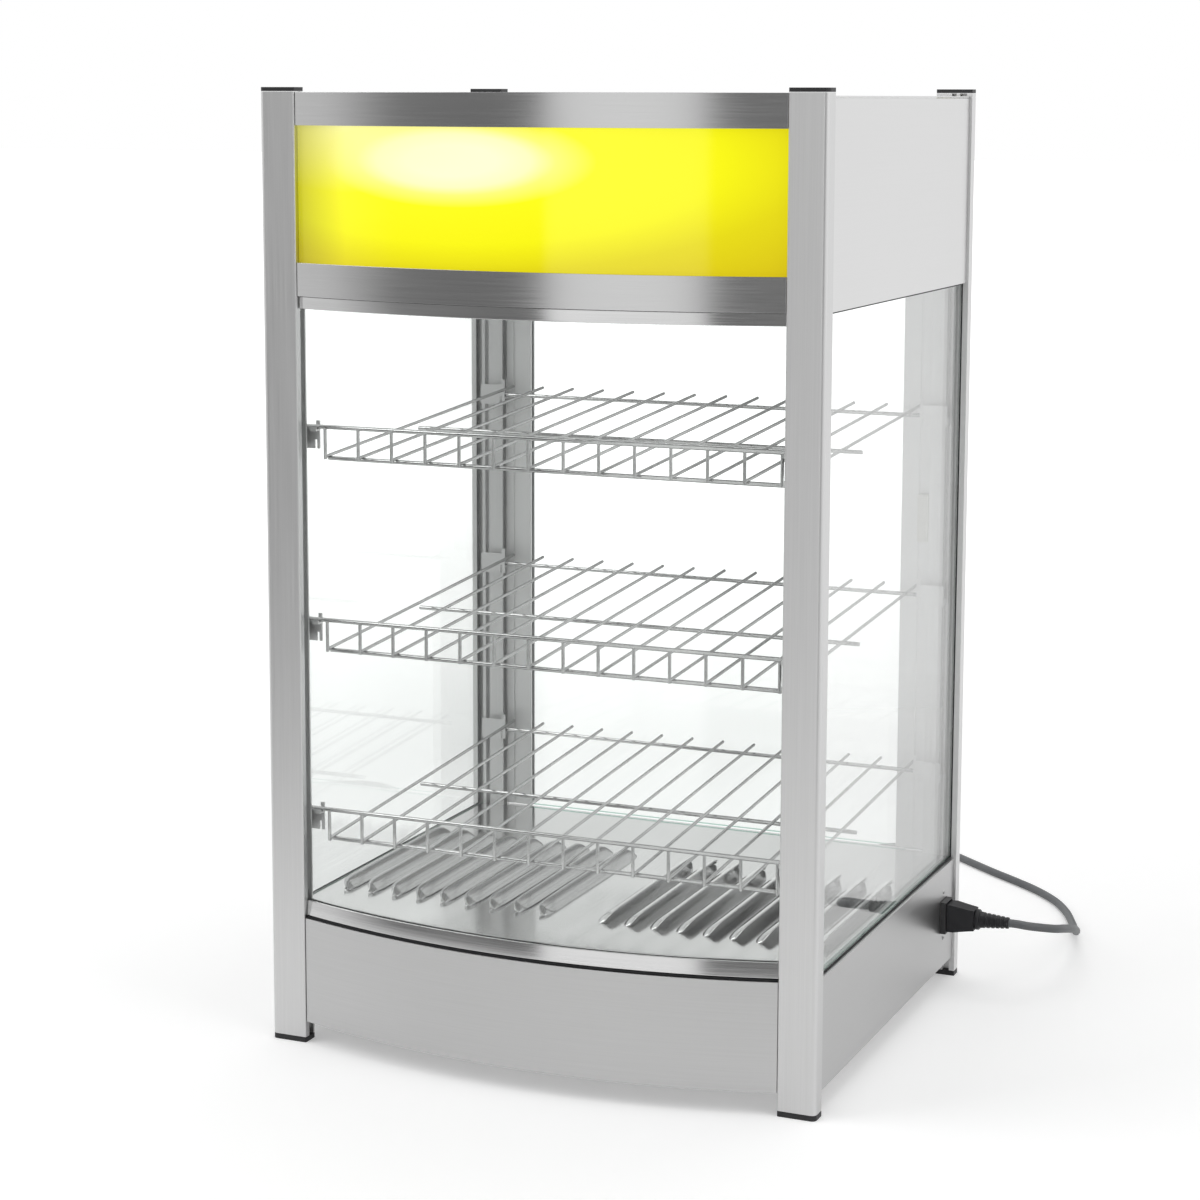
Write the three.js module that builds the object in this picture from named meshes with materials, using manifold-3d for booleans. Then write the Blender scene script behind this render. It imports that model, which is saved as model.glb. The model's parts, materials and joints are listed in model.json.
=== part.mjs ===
// Heated display cabinet with a bowed glass front, three wire shelves and a lit sign box on top.
// Millimetres, x to the right, y to the back, z up. The origin is the bottom centre of the cabinet's box.

import * as THREE from 'three';
import { mergeVertices } from 'three/addons/utils/BufferGeometryUtils.js';
import Module from 'manifold-3d';

const wasm = await Module();
wasm.setup();

// Overall size over the four posts, without the bow
const cabinet = { width: 454, depth: 380, height: 748 };

const fit = 0.3; // air between pieces that seat on each other
const weld = 0.6; // how far the parts of one piece run into each other
const overrun = 3; // how far a cutter passes the face it cuts
const sheet = 1.2; // thickness of the folded sheet
const flange = 12; // width of the folded edges

const footCap = { height: 4 };
const topCap = { height: 3 };

// The posts are one aluminium section, turned to face each corner
const post = {
  width: 30,
  depth: 14,
  outerRadius: 4,
  innerRadius: 1.2,
  cornerSteps: 4,
  clipGroove: 3.8, // upright groove that the shelf clips lock into
  clipGrooveInset: 13.2, // from the post's outer side
  grooveDepth: 5,
  glassSlot: 5.6, // upright slot for the side glass
  glassSlotInset: 4.6,
  frontSlot: 6.6, // upright slot for the bowed glass, in the side towards the middle
  frontSlotInset: 5.6,
};

// The bow of the front: how far its middle stands in front of its ends
const bow = { rise: 31, setback: 1, steps: 16 };

const base = {
  bottom: 17, // height of the lower edge above the table
  height: 84.5,
  wall: 1.5,
  sideTop: 103,
  panelInset: 2, // from the posts' outer faces to the panels
};

const header = {
  height: 154,
  topRail: 25,
  lowerRail: 25.5,
  railWall: 2.5,
  railFlange: 14,
  flangeWall: 2,
  lipWall: 1.8,
  grooveDepth: 5,
  panel: 3, // thickness of the light panel
  panelInset: 3.3,
  panelEngage: 4.5,
};

const glazing = {
  glass: 4,
  glassInset: 5,
  trimHeight: 10.8,
  upperTrimHeight: 9.4,
  trimWall: 2.2,
  trimGroove: 7,
  trimGap: 0.3,
  edgeInSlot: 3.5,
  sealInset: 1.5,
  sealWidth: 9.6,
  sealHeight: 2.1,
};

const sideGlazing = {
  glass: 4,
  glassInset: 5.9,
  glassInSlot: 4,
  gasket: 0.8, // a thin frame on the outside of the pane
  gasketInset: 4.8,
  gasketInSlot: 4.5,
  gasketWidth: 7.5,
  gasketHeight: 3.6,
};

const shelf = {
  firstLevel: 186, // height of the lowest shelf's front rim
  belowHeader: 101.6, // from the header down to the highest shelf's front rim
  count: 3,
  lip: 28, // from the front rim down to the bend
  rearDrop: 9, // how far the rear carrying wire is below the front rim
  toRight: 2, // the loose shelves lie a little to the right between the panes
  rimRadius: 1.7,
  wireRadius: 1.3,
  wireSides: 5,
  wires: 14,
  wireInset: 40.45, // from the cabinet's sides to the outermost long wires
  bendRadius: 2.5,
  bendSteps: 1,
  standOff: 6, // from the post's face to the carrying wire
  endInset: 14, // from the cabinet's side to the carrying wire's end
  frontCross: 8, // from the front rim to the cross wire behind the bends
  frontCrossOver: 1.5, // how far a cross wire passes the outer wires
  midCrossOver: 6,
  tail: 3.5, // how far the long wires pass the rear carrying wire
};

const clip = {
  thickness: 1.5,
  reach: 6.5, // how far it passes the post towards the middle
  drop: 17.5,
  lip: 1.6,
  nib: 4.5,
  nibWidth: 3,
  slot: 2,
  slotHeight: 7,
};

const floor = { sheet: 1.2, sideInset: 10.2, backInset: 4 };

// Pressed hoods in the floor that let the warm air out, mirrored about the middle
const louvre = {
  count: 9,
  first: 18.9, // from the middle to the first hood
  sideMargin: 10.9, // from the last hood to the floor's side
  width: 13,
  height: 8,
  skin: 1,
  front: 73, // from the posts' front face to the hoods
  behind: 117, // from the hoods to the posts' rear face
  taper: 13,
  slotInset: 1.6,
  // The shares of its width and height that its arch passes through
  archShares: [[0, 0], [0.3, 0.72], [1, 1]],
  // How far along its tapered end, and which shares of its height and width a hood has there
  endShares: [[0, 0.12, 0.3], [0.35, 0.75, 0.8], [1, 1, 1]],
};

const lamp = {
  length: 212,
  radius: 8,
  fromPost: 16.7, // from the left posts to the lamp's left holder
  fromFront: 45,
  rise: 97, // above the header's floor
  sides: 14,
  pinRadius: 1.2,
  pinLength: 6,
  pinSpread: 3.5,
  pinSides: 6,
  socketRadius: 11,
  socketDepth: 12,
  bracket: 1.6,
  bracketWidth: 20,
  foot: 14,
};

const element = {
  radius: 4,
  sides: 6,
  runs: 4,
  sideInset: 137, // from the cabinet's sides to the outer runs
  endInset: 95, // from the posts' front and rear faces to the bends
  tailLength: 45,
  height: 72, // above the table
  bendSteps: 6,
  restInset: 33, // from the bends to the rests
  restSheet: 1.5,
  restOverhang: 14,
};

const vent = { count: 7, width: 4, length: 60, pitch: 12, sideInset: 117, backInset: 150 };

const door = {
  gap: 1.5, // between the door and the posts
  thickness: 8,
  stile: 24,
  groove: 8,
  glass: 4,
  floorGap: 1.5,
  reveal: 2, // shallow groove along the stile
  revealDepth: 1,
};

const hinge = {
  axisBehind: 5, // from the posts' rear face to the pin
  barrelRadius: 4,
  pinRadius: 2.3,
  halfHeight: 24,
  leafWidth: 20,
  leaf: 1.6,
  endMargin: 70,
  sides: 16,
};

const knob = {
  footRadius: 9,
  neckRadius: 6,
  headRadius: 15,
  length: 27,
  footLength: 4,
  headLength: 14,
  edge: 3,
  sides: 20,
};

const doorCatch = { width: 9, depth: 8, height: 40, aboveKnob: 45 };

const thermostat = {
  fromPost: 77, // from the left posts to the knob's axis
  height: 58,
  holeRadius: 5,
  shaftRadius: 3,
  shaftInside: 16,
  body: 34,
  bodyDepth: 26,
  collarRadius: 8,
  skirtRadius: 20,
  skirt: 5,
  gripLength: 34,
  gripWidth: 9,
  gripHeight: 13,
  standOff: 1,
  sides: 24,
};

const rocker = {
  fromKnob: 68, // from the knob's axis to the heat switch
  pitch: 44,
  height: 58,
  bezelWidth: 24,
  bezelHeight: 32,
  bezel: 2,
  bodyWidth: 21.4,
  bodyHeight: 27.4,
  bodyDepth: 20,
  wellWidth: 13.6,
  wellHeight: 24.4,
  wellDepth: 11,
  width: 13,
  length: 21,
  thickness: 6,
  tilt: THREE.MathUtils.degToRad(9),
  pivotDepth: 3,
};

const inlet = {
  fromBack: 43.4,
  height: 61.6,
  bodyY: 20,
  bodyZ: 27,
  bodyDepth: 22,
  flangeY: 24,
  flangeZ: 50,
  flange: 3,
  wall: 1.2,
  proud: 5,
  floor: 2,
  bladeY: 2,
  bladeZ: 4,
  bladeLength: 13,
  bladeSpread: 7,
  earthOffset: 4,
};

const connector = {
  nose: 15,
  gripY: 17,
  gripZ: 23,
  neckY: 14,
  neckZ: 14,
  gripLength: 23,
  ringRadius: 8,
  ring: 4,
  reliefLength: 24,
  reliefStart: 6.5,
  reliefEnd: 4.3,
  sides: 12,
  pocketPlay: 0.5,
};

const cord = {
  radius: 3.5,
  sides: 8,
  steps: 48,
  floorPlay: 0.1,
  // Places along its fall to the table, chosen by hand: how far they are to the right of the
  // connector's end and behind it, and the share of the connector's height that is left
  falling: [
    [14.7, 1.9, 0.981], [25.7, 9.9, 0.938], [33.7, 22.4, 0.878], [37.2, 40.4, 0.8],
    [37.7, 63.4, 0.688], [34.7, 88.4, 0.55], [29.7, 117.4, 0.378], [22.7, 147.4, 0.197],
    [14.7, 177.4, 0.067], [4.7, 207.4, 0.014],
  ],
  // Places where it lies on the table, on the way to the coil
  lying: [
    [-7.3, 237.4], [-24.3, 266.4], [-48.3, 293.4], [-75.3, 316.4], [-102.3, 337.4],
    [-126.3, 357.4], [-150.3, 377.4], [-174.3, 392.4], [-199.3, 395.4], [-221.3, 384.4],
    [-236.3, 364.4], [-248.3, 338.4], [-260.3, 308.4], [-271.3, 273.4], [-279.3, 238.4],
    [-285.3, 203.4], [-289.7, 173.4], [-291.3, 157.4], [-291.3, 150.7],
  ],
};

// The spare length of the cord, wound in two layers
const coil = {
  outerRadius: 45,
  pitch: 7.7,
  turns: 4.25,
  layerTurns: 2,
  climbTurns: 0.5,
  stepsPerTurn: 24,
  sides: 6,
  tail: 62,
  tailSteps: 5,
  straight: 7,
};

const plug = {
  reliefLength: 26,
  reliefStart: 4.3,
  reliefEnd: 7,
  backRadius: 9,
  bodyRadius: 18.2,
  bodyLength: 34,
  taperLength: 16,
  pinRadius: 2.4,
  pinLength: 19,
  pinSpread: 9.5,
  pinSides: 10,
  sides: 20,
  floorPlay: 0.4,
};

// Heights and places that follow from the sizes above
const halfWidth = cabinet.width / 2;
const frontY = -cabinet.depth / 2;
const backY = cabinet.depth / 2;
const innerHalf = halfWidth - post.width;
const postRear = frontY + post.depth;
const baseTop = base.bottom + base.height;
const headerTop = cabinet.height - topCap.height - 2 * fit;
const headerBottom = headerTop - header.height;
const lightTop = headerTop - header.topRail;
const lightBottom = headerBottom + header.lowerRail;
const sealBottom = baseTop + fit;
const lowerTrimBottom = sealBottom + glazing.sealHeight + fit;
const floorBottom = base.sideTop + fit;
const floorTop = floorBottom + floor.sheet;
const headerFloorBottom = headerBottom + sheet + fit;
const headerFloorTop = headerFloorBottom + sheet;
const roofBottom = headerTop - sheet - header.flangeWall;
const sideTop = roofBottom - fit;
const panelFace = halfWidth - base.panelInset;
const backFace = backY - base.panelInset;
const bottomCoverBottom = base.bottom + base.wall + fit;
const bottomCoverTop = bottomCoverBottom + sheet;
const doorBottom = floorTop + door.floorGap;
const doorTop = headerBottom - door.floorGap;
const doorHalf = innerHalf - door.gap;
const carrierY = backY - post.depth - shelf.standOff;
const shelfPitch = (headerBottom - shelf.belowHeader - shelf.firstLevel) / (shelf.count - 1);
const wirePitch = (2 * (halfWidth - shelf.wireInset)) / (shelf.wires - 1);
const floorHalf = halfWidth - floor.sideInset;
const lastHood = floorHalf - louvre.sideMargin - louvre.width;
const louvrePitch = (lastHood - louvre.first) / (louvre.count - 1);
const louvreLength = cabinet.depth - louvre.front - louvre.behind;
const lampX = -innerHalf + lamp.fromPost + lamp.socketDepth + fit + lamp.length / 2;
const runPitch = (2 * (halfWidth - element.sideInset)) / (element.runs - 1);
const runReach = backY - element.endInset;
const thermostatX = -innerHalf + thermostat.fromPost;
const heatX = thermostatX + rocker.fromKnob;
const lightX = heatX + rocker.pitch;
const inletY = backY - inlet.fromBack;

const colours = {
  steel: { color: 0xa9a9a9, roughness: 0.38, metalness: 1 },
  sheet: { color: 0xb4b4b4, roughness: 0.42, metalness: 1 },
  chrome: { color: 0xd6d6d6, roughness: 0.15, metalness: 1 },
  floor: { color: 0xc9cac9, roughness: 0.2, metalness: 1 },
  glass: { color: 0xf2f6f5, roughness: 0.05, metalness: 0, transparent: true, opacity: 0.25 },
  light: { color: 0xffe800, roughness: 0.35, metalness: 0 },
  lamp: { color: 0xfffbe6, roughness: 0.4, metalness: 0 },
  black: { color: 0x161616, roughness: 0.5, metalness: 0 },
  white: { color: 0xe8e6e0, roughness: 0.5, metalness: 0 },
  cord: { color: 0x55595b, roughness: 0.6, metalness: 0 },
  element: { color: 0x6d6a66, roughness: 0.5, metalness: 1 },
};

const part = new THREE.Group();

function add(name, geometry, look) {
  const mesh = new THREE.Mesh(geometry, new THREE.MeshStandardMaterial(colours[look]));
  mesh.name = name;
  part.add(mesh);
  return mesh;
}

// Closed meshes and solids

// A closed mesh from loose points and triangles, turned so that its faces point out
function closedGeometry(points, triangles) {
  let volume = 0;
  for (const [a, b, c] of triangles) {
    volume += points[a].dot(points[b].clone().cross(points[c]));
  }
  const index = triangles.flatMap(([a, b, c]) => (volume > 0 ? [a, b, c] : [a, c, b]));
  const geometry = new THREE.BufferGeometry().setFromPoints(points);
  geometry.setIndex(index);
  geometry.computeVertexNormals();
  return geometry;
}

function toSolid(geometry) {
  const bare = geometry.clone();
  bare.deleteAttribute('normal');
  bare.deleteAttribute('uv');
  const merged = mergeVertices(bare);
  return new wasm.Manifold(new wasm.Mesh({
    numProp: 3,
    vertProperties: new Float32Array(merged.attributes.position.array),
    triVerts: new Uint32Array(merged.index.array),
  }));
}

function toGeometry(solid) {
  const mesh = solid.getMesh();
  const geometry = new THREE.BufferGeometry();
  geometry.setAttribute('position', new THREE.BufferAttribute(new Float32Array(mesh.vertProperties), 3));
  geometry.setIndex(new THREE.BufferAttribute(new Uint32Array(mesh.triVerts), 1));
  geometry.computeVertexNormals();
  return geometry;
}

const joined = (geometries) => geometries.map(toSolid).reduce((all, next) => all.add(next));
const join = (geometries) => toGeometry(joined(geometries));
const cut = (body, cutters) => toGeometry(toSolid(body).subtract(joined(cutters)));

// A box between two corners
function block(x, y, z) {
  const geometry = new THREE.BoxGeometry(x[1] - x[0], y[1] - y[0], z[1] - z[0]);
  return geometry.translate((x[0] + x[1]) / 2, (y[0] + y[1]) / 2, (z[0] + z[1]) / 2);
}

const around = (middle, size) => [middle - size / 2, middle + size / 2];

// An outline in x and y raised from one height to another
function raised(outline, z) {
  const shape = new THREE.Shape(outline.map(([x, y]) => new THREE.Vector2(x, y)));
  const geometry = new THREE.ExtrudeGeometry(shape, { depth: z[1] - z[0], bevelEnabled: false });
  return geometry.translate(0, 0, z[0]);
}

// An outline in x and z, run along y
function alongY(outline, y) {
  const geometry = raised(outline.map(([x, z]) => [x, -z]), [0, y[1] - y[0]]);
  return geometry.rotateX(-Math.PI / 2).translate(0, y[0], 0);
}

// An outline in y and z, run along x
function alongX(outline, x) {
  const geometry = raised(outline, [0, x[1] - x[0]]);
  return geometry.rotateZ(Math.PI / 2).rotateY(Math.PI / 2).translate(x[0], 0, 0);
}

// A turned piece: radius and height pairs about a vertical axis
function turned(profile, sides) {
  const outline = profile.map(([radius, height]) => new THREE.Vector2(radius, height));
  return new THREE.LatheGeometry(outline, sides).rotateX(Math.PI / 2);
}

function ring(radius, sides, turn = 0) {
  const points = [];
  for (let i = 0; i < sides; i++) {
    const angle = turn + (2 * Math.PI * i) / sides;
    points.push(new THREE.Vector2(radius * Math.cos(angle), radius * Math.sin(angle)));
  }
  return points;
}

// A curve that visits its stations one step each, with the mitre direction at every corner
class Stations extends THREE.Curve {
  constructor(points) {
    super();
    this.points = points;
  }

  getPoint(t, target = new THREE.Vector3()) {
    const place = t * (this.points.length - 1);
    const i = Math.min(Math.floor(place), this.points.length - 2);
    return target.lerpVectors(this.points[i], this.points[i + 1], place - i);
  }

  getPointAt(u, target) {
    return this.getPoint(u, target);
  }

  getTangentAt(u, target = new THREE.Vector3()) {
    const last = this.points.length - 1;
    const i = Math.round(u * last);
    const here = this.points[i];
    const before = this.points[Math.max(i - 1, 0)];
    const after = this.points[Math.min(i + 1, last)];
    target.set(0, 0, 0);
    if (i > 0) target.add(here.clone().sub(before).normalize());
    if (i < last) target.add(after.clone().sub(here).normalize());
    return target.normalize();
  }
}

// A round bar through the stations
function bar(points, radius, sides) {
  const path = new Stations(points);
  return new THREE.ExtrudeGeometry(new THREE.Shape(ring(radius, sides, Math.PI / sides)), {
    steps: points.length - 1,
    bevelEnabled: false,
    extrudePath: path,
  });
}

// The corners of a route, each one rounded by an arc
function rounded(corners, radius, steps) {
  const points = [corners[0]];
  for (let i = 1; i < corners.length - 1; i++) {
    const into = corners[i].clone().sub(corners[i - 1]).normalize();
    const out = corners[i + 1].clone().sub(corners[i]).normalize();
    const angle = into.angleTo(out);
    const run = radius * Math.tan(angle / 2);
    const start = corners[i].clone().addScaledVector(into, -run);
    const side = out.clone().addScaledVector(into, -into.dot(out)).normalize();
    const centre = start.clone().addScaledVector(side, radius);
    for (let k = 0; k <= steps; k++) {
      const turn = (angle * k) / steps;
      points.push(centre.clone()
        .addScaledVector(side, -radius * Math.cos(turn))
        .addScaledVector(into, radius * Math.sin(turn)));
    }
  }
  points.push(corners[corners.length - 1]);
  return points;
}

// The bowed front

const bowRadius = (innerHalf ** 2 + bow.rise ** 2) / (2 * bow.rise);
const bowCentre = frontY + bow.setback - bow.rise + bowRadius;

// Depth of the bow at x, for a surface that lies inset behind the outer face
const bowY = (x, inset) => bowCentre - Math.sqrt((bowRadius - inset) ** 2 - x ** 2);

// The section of a plain strip between two insets and two heights
const stripSection = (insets, z) => [
  [insets[0], z[0]],
  [insets[0], z[1]],
  [insets[1], z[1]],
  [insets[1], z[0]],
];

// A bar along the bow; its section is given as inset and height pairs
function bowed(section, halfLength) {
  const outline = section.map(([inset, z]) => new THREE.Vector2(inset, z));
  if (THREE.ShapeUtils.isClockWise(outline)) outline.reverse();
  const n = outline.length;
  const points = [];
  const triangles = [];
  for (let i = 0; i <= bow.steps; i++) {
    const x = halfLength * ((2 * i) / bow.steps - 1);
    for (const corner of outline) points.push(new THREE.Vector3(x, bowY(x, corner.x), corner.y));
  }
  for (let i = 0; i < bow.steps; i++) {
    for (let j = 0; j < n; j++) {
      const a = i * n + j;
      const b = i * n + ((j + 1) % n);
      triangles.push([a, b, b + n], [a, b + n, a + n]);
    }
  }
  const end = n * bow.steps;
  for (const [a, b, c] of THREE.ShapeUtils.triangulateShape(outline, [])) {
    triangles.push([a, c, b], [end + a, end + b, end + c]);
  }
  return closedGeometry(points, triangles);
}

// The outline of a plate inside the posts: bowed in front, cut back round each post
function platePlan(sideX, rearY, inset) {
  const half = innerHalf - fit;
  const notchY = Math.max(bowY(half, inset), postRear + fit);
  const points = [];
  for (let i = 0; i <= bow.steps; i++) {
    const x = half * ((2 * i) / bow.steps - 1);
    points.push([x, bowY(x, inset)]);
  }
  const rearNotch = backY - post.depth - fit;
  const right = [[half, notchY], [sideX, notchY], [sideX, rearNotch], [half, rearNotch], [half, rearY]];
  const same = Math.abs(points[points.length - 1][1] - notchY) < fit;
  const corner = same ? right.slice(1) : right;
  const left = corner.map(([x, y]) => [-x, y]).reverse();
  if (same) points[0][1] = points[points.length - 1][1] = notchY;
  return [...points, ...corner, ...left];
}

// Posts with their shelf clips, and their caps

// The outline of the front left post from its outer front corner
function postOutline(grooved) {
  const { width, depth, outerRadius, innerRadius, cornerSteps } = post;
  const corner = (cx, cy, radius, from) => {
    const points = [];
    for (let i = 0; i <= cornerSteps; i++) {
      const angle = from + (Math.PI / 2) * (i / cornerSteps);
      points.push([cx + radius * Math.cos(angle), cy + radius * Math.sin(angle)]);
    }
    return points;
  };
  const groove = (start, size, place) => [
    place(start + size, 0),
    place(start + size, post.grooveDepth),
    place(start, post.grooveDepth),
    place(start, 0),
  ];
  const sideGroove = groove(
    post.frontSlotInset,
    post.frontSlot,
    (along, deep) => [width - deep, along],
  ).reverse();
  const rearGroove = (start, size) => groove(start, size, (along, deep) => [along, depth - deep]);
  return [
    ...corner(outerRadius, outerRadius, outerRadius, Math.PI),
    ...corner(width - innerRadius, innerRadius, innerRadius, 1.5 * Math.PI),
    ...(grooved ? sideGroove : []),
    [width, depth],
    ...(grooved ? rearGroove(post.clipGrooveInset, post.clipGroove) : []),
    ...(grooved ? rearGroove(post.glassSlotInset, post.glassSlot) : []),
    [0, depth],
  ];
}

// One clip in the front left post's own place: x from the outer side, y from the front face.
// Its top edge is at the given height, and its seat takes a wire that lies lower by the drop.
function clipParts(height, wireDrop) {
  const wire = post.depth + shelf.standOff;
  const seat = height - wireDrop;
  const under = seat - shelf.rimRadius - fit;
  const back = wire + shelf.rimRadius + fit;
  const front = wire - shelf.rimRadius - fit;
  const end = post.width + clip.reach;
  const start = post.clipGrooveInset + fit;
  const tongue = post.clipGroove - 2 * fit;
  const bottom = height - clip.drop;
  const depth = [back, back + clip.thickness];
  const rear = depth[1] - weld / 2;
  const slot = block(
    around((post.width + end) / 2, clip.slot),
    [back - overrun, depth[1] + overrun],
    [bottom - overrun, bottom + clip.slotHeight],
  );
  return [
    cut(block([start, end], depth, [bottom, height]), [slot]),
    block([end - clip.nibWidth, end], depth, [height - weld, height + clip.nib]),
    block([start, end], [front - clip.lip, rear], [under - clip.thickness, under]),
    block([start, end], [front - clip.lip, front], [under - weld, seat - fit]),
    block([start, start + tongue], [post.depth - post.grooveDepth - weld, rear], [bottom, under - weld]),
  ];
}

const corners = [
  { name: 'front_left', x: 1, y: 1 },
  { name: 'front_right', x: -1, y: 1 },
  { name: 'rear_left', x: 1, y: -1 },
  { name: 'rear_right', x: -1, y: -1 },
];

const shelfLevels = Array.from({ length: shelf.count }, (_, i) => shelf.firstLevel + i * shelfPitch);

// Carries a front left shape to its own corner. One mirroring turns a shape inside out,
// so its triangles are turned back.
function placed(geometry, corner) {
  const shape = mergeVertices(geometry.clone().translate(-halfWidth, frontY, 0));
  shape.applyMatrix4(new THREE.Matrix4().makeScale(corner.x, corner.y, 1));
  if (corner.x * corner.y > 0) return shape;
  const index = shape.index.array;
  for (let i = 0; i < index.length; i += 3) {
    [index[i + 1], index[i + 2]] = [index[i + 2], index[i + 1]];
  }
  return shape;
}

function addPosts() {
  const postBottom = footCap.height + fit;
  const postTop = cabinet.height - topCap.height - fit;
  const body = raised(postOutline(true), [postBottom, postTop]);
  const withClips = [0, shelf.rearDrop].map((drop) => (
    join([body, ...shelfLevels.flatMap((level) => clipParts(level, drop))])
  ));
  const foot = raised(postOutline(false), [0, footCap.height]);
  const cap = raised(postOutline(false), [cabinet.height - topCap.height, cabinet.height]);
  for (const corner of corners) {
    add(`post_${corner.name}`, placed(withClips[corner.y > 0 ? 0 : 1], corner), 'steel');
    add(`foot_cap_${corner.name}`, placed(foot, corner), 'black');
    add(`top_cap_${corner.name}`, placed(cap, corner), 'black');
  }
}

// The lit header box

// A rail's section: face, folded flange and the lips that hold the light panel; up is 1 or -1
function railSection(flangeEdge, lipEdge) {
  const up = Math.sign(flangeEdge - lipEdge);
  const lipFront = header.railWall + fit;
  const lipBack = header.panelInset + header.panel + fit;
  const lipOuter = lipBack + header.lipWall;
  const root = lipEdge + up * header.grooveDepth;
  return [
    [0, lipEdge],
    [0, flangeEdge],
    [header.railFlange, flangeEdge],
    [header.railFlange, flangeEdge - up * header.flangeWall],
    [header.railWall, flangeEdge - up * header.flangeWall],
    [header.railWall, root + up * header.lipWall],
    [lipOuter, root + up * header.lipWall],
    [lipOuter, lipEdge],
    [lipBack, lipEdge],
    [lipBack, root],
    [lipFront, root],
    [lipFront, lipEdge],
  ];
}

// A folded panel's section between two heights: a face and a flange at each end, folded inwards
const foldedSection = (face, inward, wall, z) => [
  [face, z[0]],
  [face, z[1]],
  [face + inward * flange, z[1]],
  [face + inward * flange, z[1] - wall],
  [face + inward * wall, z[1] - wall],
  [face + inward * wall, z[0] + wall],
  [face + inward * flange, z[0] + wall],
  [face + inward * flange, z[0]],
];

const panelRun = [postRear + fit, -postRear - fit];

function addHeader() {
  const half = innerHalf - fit;
  add('header_top_rail', bowed(railSection(headerTop, lightTop), half), 'steel');
  add('header_lower_rail', bowed(railSection(headerBottom, lightBottom), half), 'steel');
  const panelZ = [lightBottom - header.panelEngage, lightTop + header.panelEngage];
  const panelInsets = [header.panelInset, header.panelInset + header.panel];
  add('light_panel', bowed(stripSection(panelInsets, panelZ), half), 'light');
  const boxZ = [headerBottom, sideTop];
  for (const [side, s] of [['left', -1], ['right', 1]]) {
    add(`header_side_${side}`, alongY(foldedSection(s * panelFace, -s, sheet, boxZ), panelRun), 'sheet');
  }
  add('header_back', alongX(foldedSection(backFace, -1, sheet, boxZ), [-half, half]), 'sheet');
  const sideX = panelFace - sheet - fit;
  const rearY = backFace - sheet - fit;
  const inset = header.railFlange + fit;
  add('header_floor', raised(platePlan(sideX, rearY, inset), [headerFloorBottom, headerFloorTop]), 'sheet');
  const roofPlan = platePlan(panelFace, backFace, inset);
  add('roof_panel', raised(roofPlan, [roofBottom, roofBottom + sheet]), 'sheet');
}

function addLamp() {
  const y = frontY + lamp.fromFront;
  const z = headerFloorTop + lamp.rise;
  const rod = (radius, length, sides) => (
    new THREE.CylinderGeometry(radius, radius, length, sides).rotateZ(Math.PI / 2)
  );
  const tube = rod(lamp.radius, lamp.length, lamp.sides);
  const pins = [];
  for (const end of [-1, 1]) {
    for (const side of [-1, 1]) {
      const middle = lamp.length / 2 + (lamp.pinLength - weld) / 2;
      pins.push(rod(lamp.pinRadius, lamp.pinLength + weld, lamp.pinSides)
        .translate(end * middle, 0, side * lamp.pinSpread));
    }
  }
  add('lamp_tube', join([tube, ...pins]).translate(lampX, y, z), 'lamp');
  for (const [side, s] of [['left', -1], ['right', 1]]) {
    const face = lampX + s * (lamp.length / 2 + fit);
    const outer = face + s * lamp.socketDepth;
    const middle = (face + outer) / 2;
    const span = (a, b) => [Math.min(a, b), Math.max(a, b)];
    const socket = rod(lamp.socketRadius, lamp.socketDepth, lamp.sides).translate(middle, y, z);
    const foot = headerFloorTop + fit;
    const bracketY = around(y, lamp.bracketWidth);
    const upright = block(span(outer - s * lamp.bracket, outer), bracketY, [foot, z]);
    const base = block(span(outer, outer - s * lamp.foot), bracketY, [foot, foot + lamp.bracket]);
    const pocket = block(
      span(face - s * overrun, face + s * (lamp.pinLength + fit)),
      around(y, 2 * lamp.pinRadius + 2 * fit),
      around(z, 2 * (lamp.pinSpread + lamp.pinRadius + fit)),
    );
    add(`lamp_holder_${side}`, cut(join([socket, upright, base]), [pocket]), 'white');
  }
}

// Bowed glass with its trims

// A trim's section round the glass edge: shut at its back edge, open at its mouth
function trimSection(shut, mouth) {
  const up = Math.sign(mouth - shut);
  const inner = glazing.glassInset - glazing.trimGap;
  const outer = glazing.glassInset + glazing.glass + glazing.trimGap;
  const root = mouth - up * glazing.trimGroove;
  return [
    [inner - glazing.trimWall, shut],
    [inner - glazing.trimWall, mouth],
    [inner, mouth],
    [inner, root],
    [outer, root],
    [outer, mouth],
    [outer + glazing.trimWall, mouth],
    [outer + glazing.trimWall, shut],
  ];
}

function addFrontGlazing() {
  const half = innerHalf - fit;
  const lowerTrimTop = lowerTrimBottom + glazing.trimHeight;
  const upperTrimTop = headerBottom - fit;
  const upperTrimBottom = upperTrimTop - glazing.upperTrimHeight;
  add('bottom_glass_trim', bowed(trimSection(lowerTrimBottom, lowerTrimTop), half), 'chrome');
  add('top_glass_trim', bowed(trimSection(upperTrimTop, upperTrimBottom), half), 'chrome');
  const glassZ = [lowerTrimTop - glazing.trimGroove + fit, upperTrimBottom + glazing.trimGroove - fit];
  const glassInsets = [glazing.glassInset, glazing.glassInset + glazing.glass];
  const glassHalf = innerHalf + glazing.edgeInSlot;
  add('front_glass', bowed(stripSection(glassInsets, glassZ), glassHalf), 'glass');
  const sealInsets = [glazing.sealInset, glazing.sealInset + glazing.sealWidth];
  const sealZ = [sealBottom, sealBottom + glazing.sealHeight];
  add('sill_seal', bowed(stripSection(sealInsets, sealZ), half), 'black');
}

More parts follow.
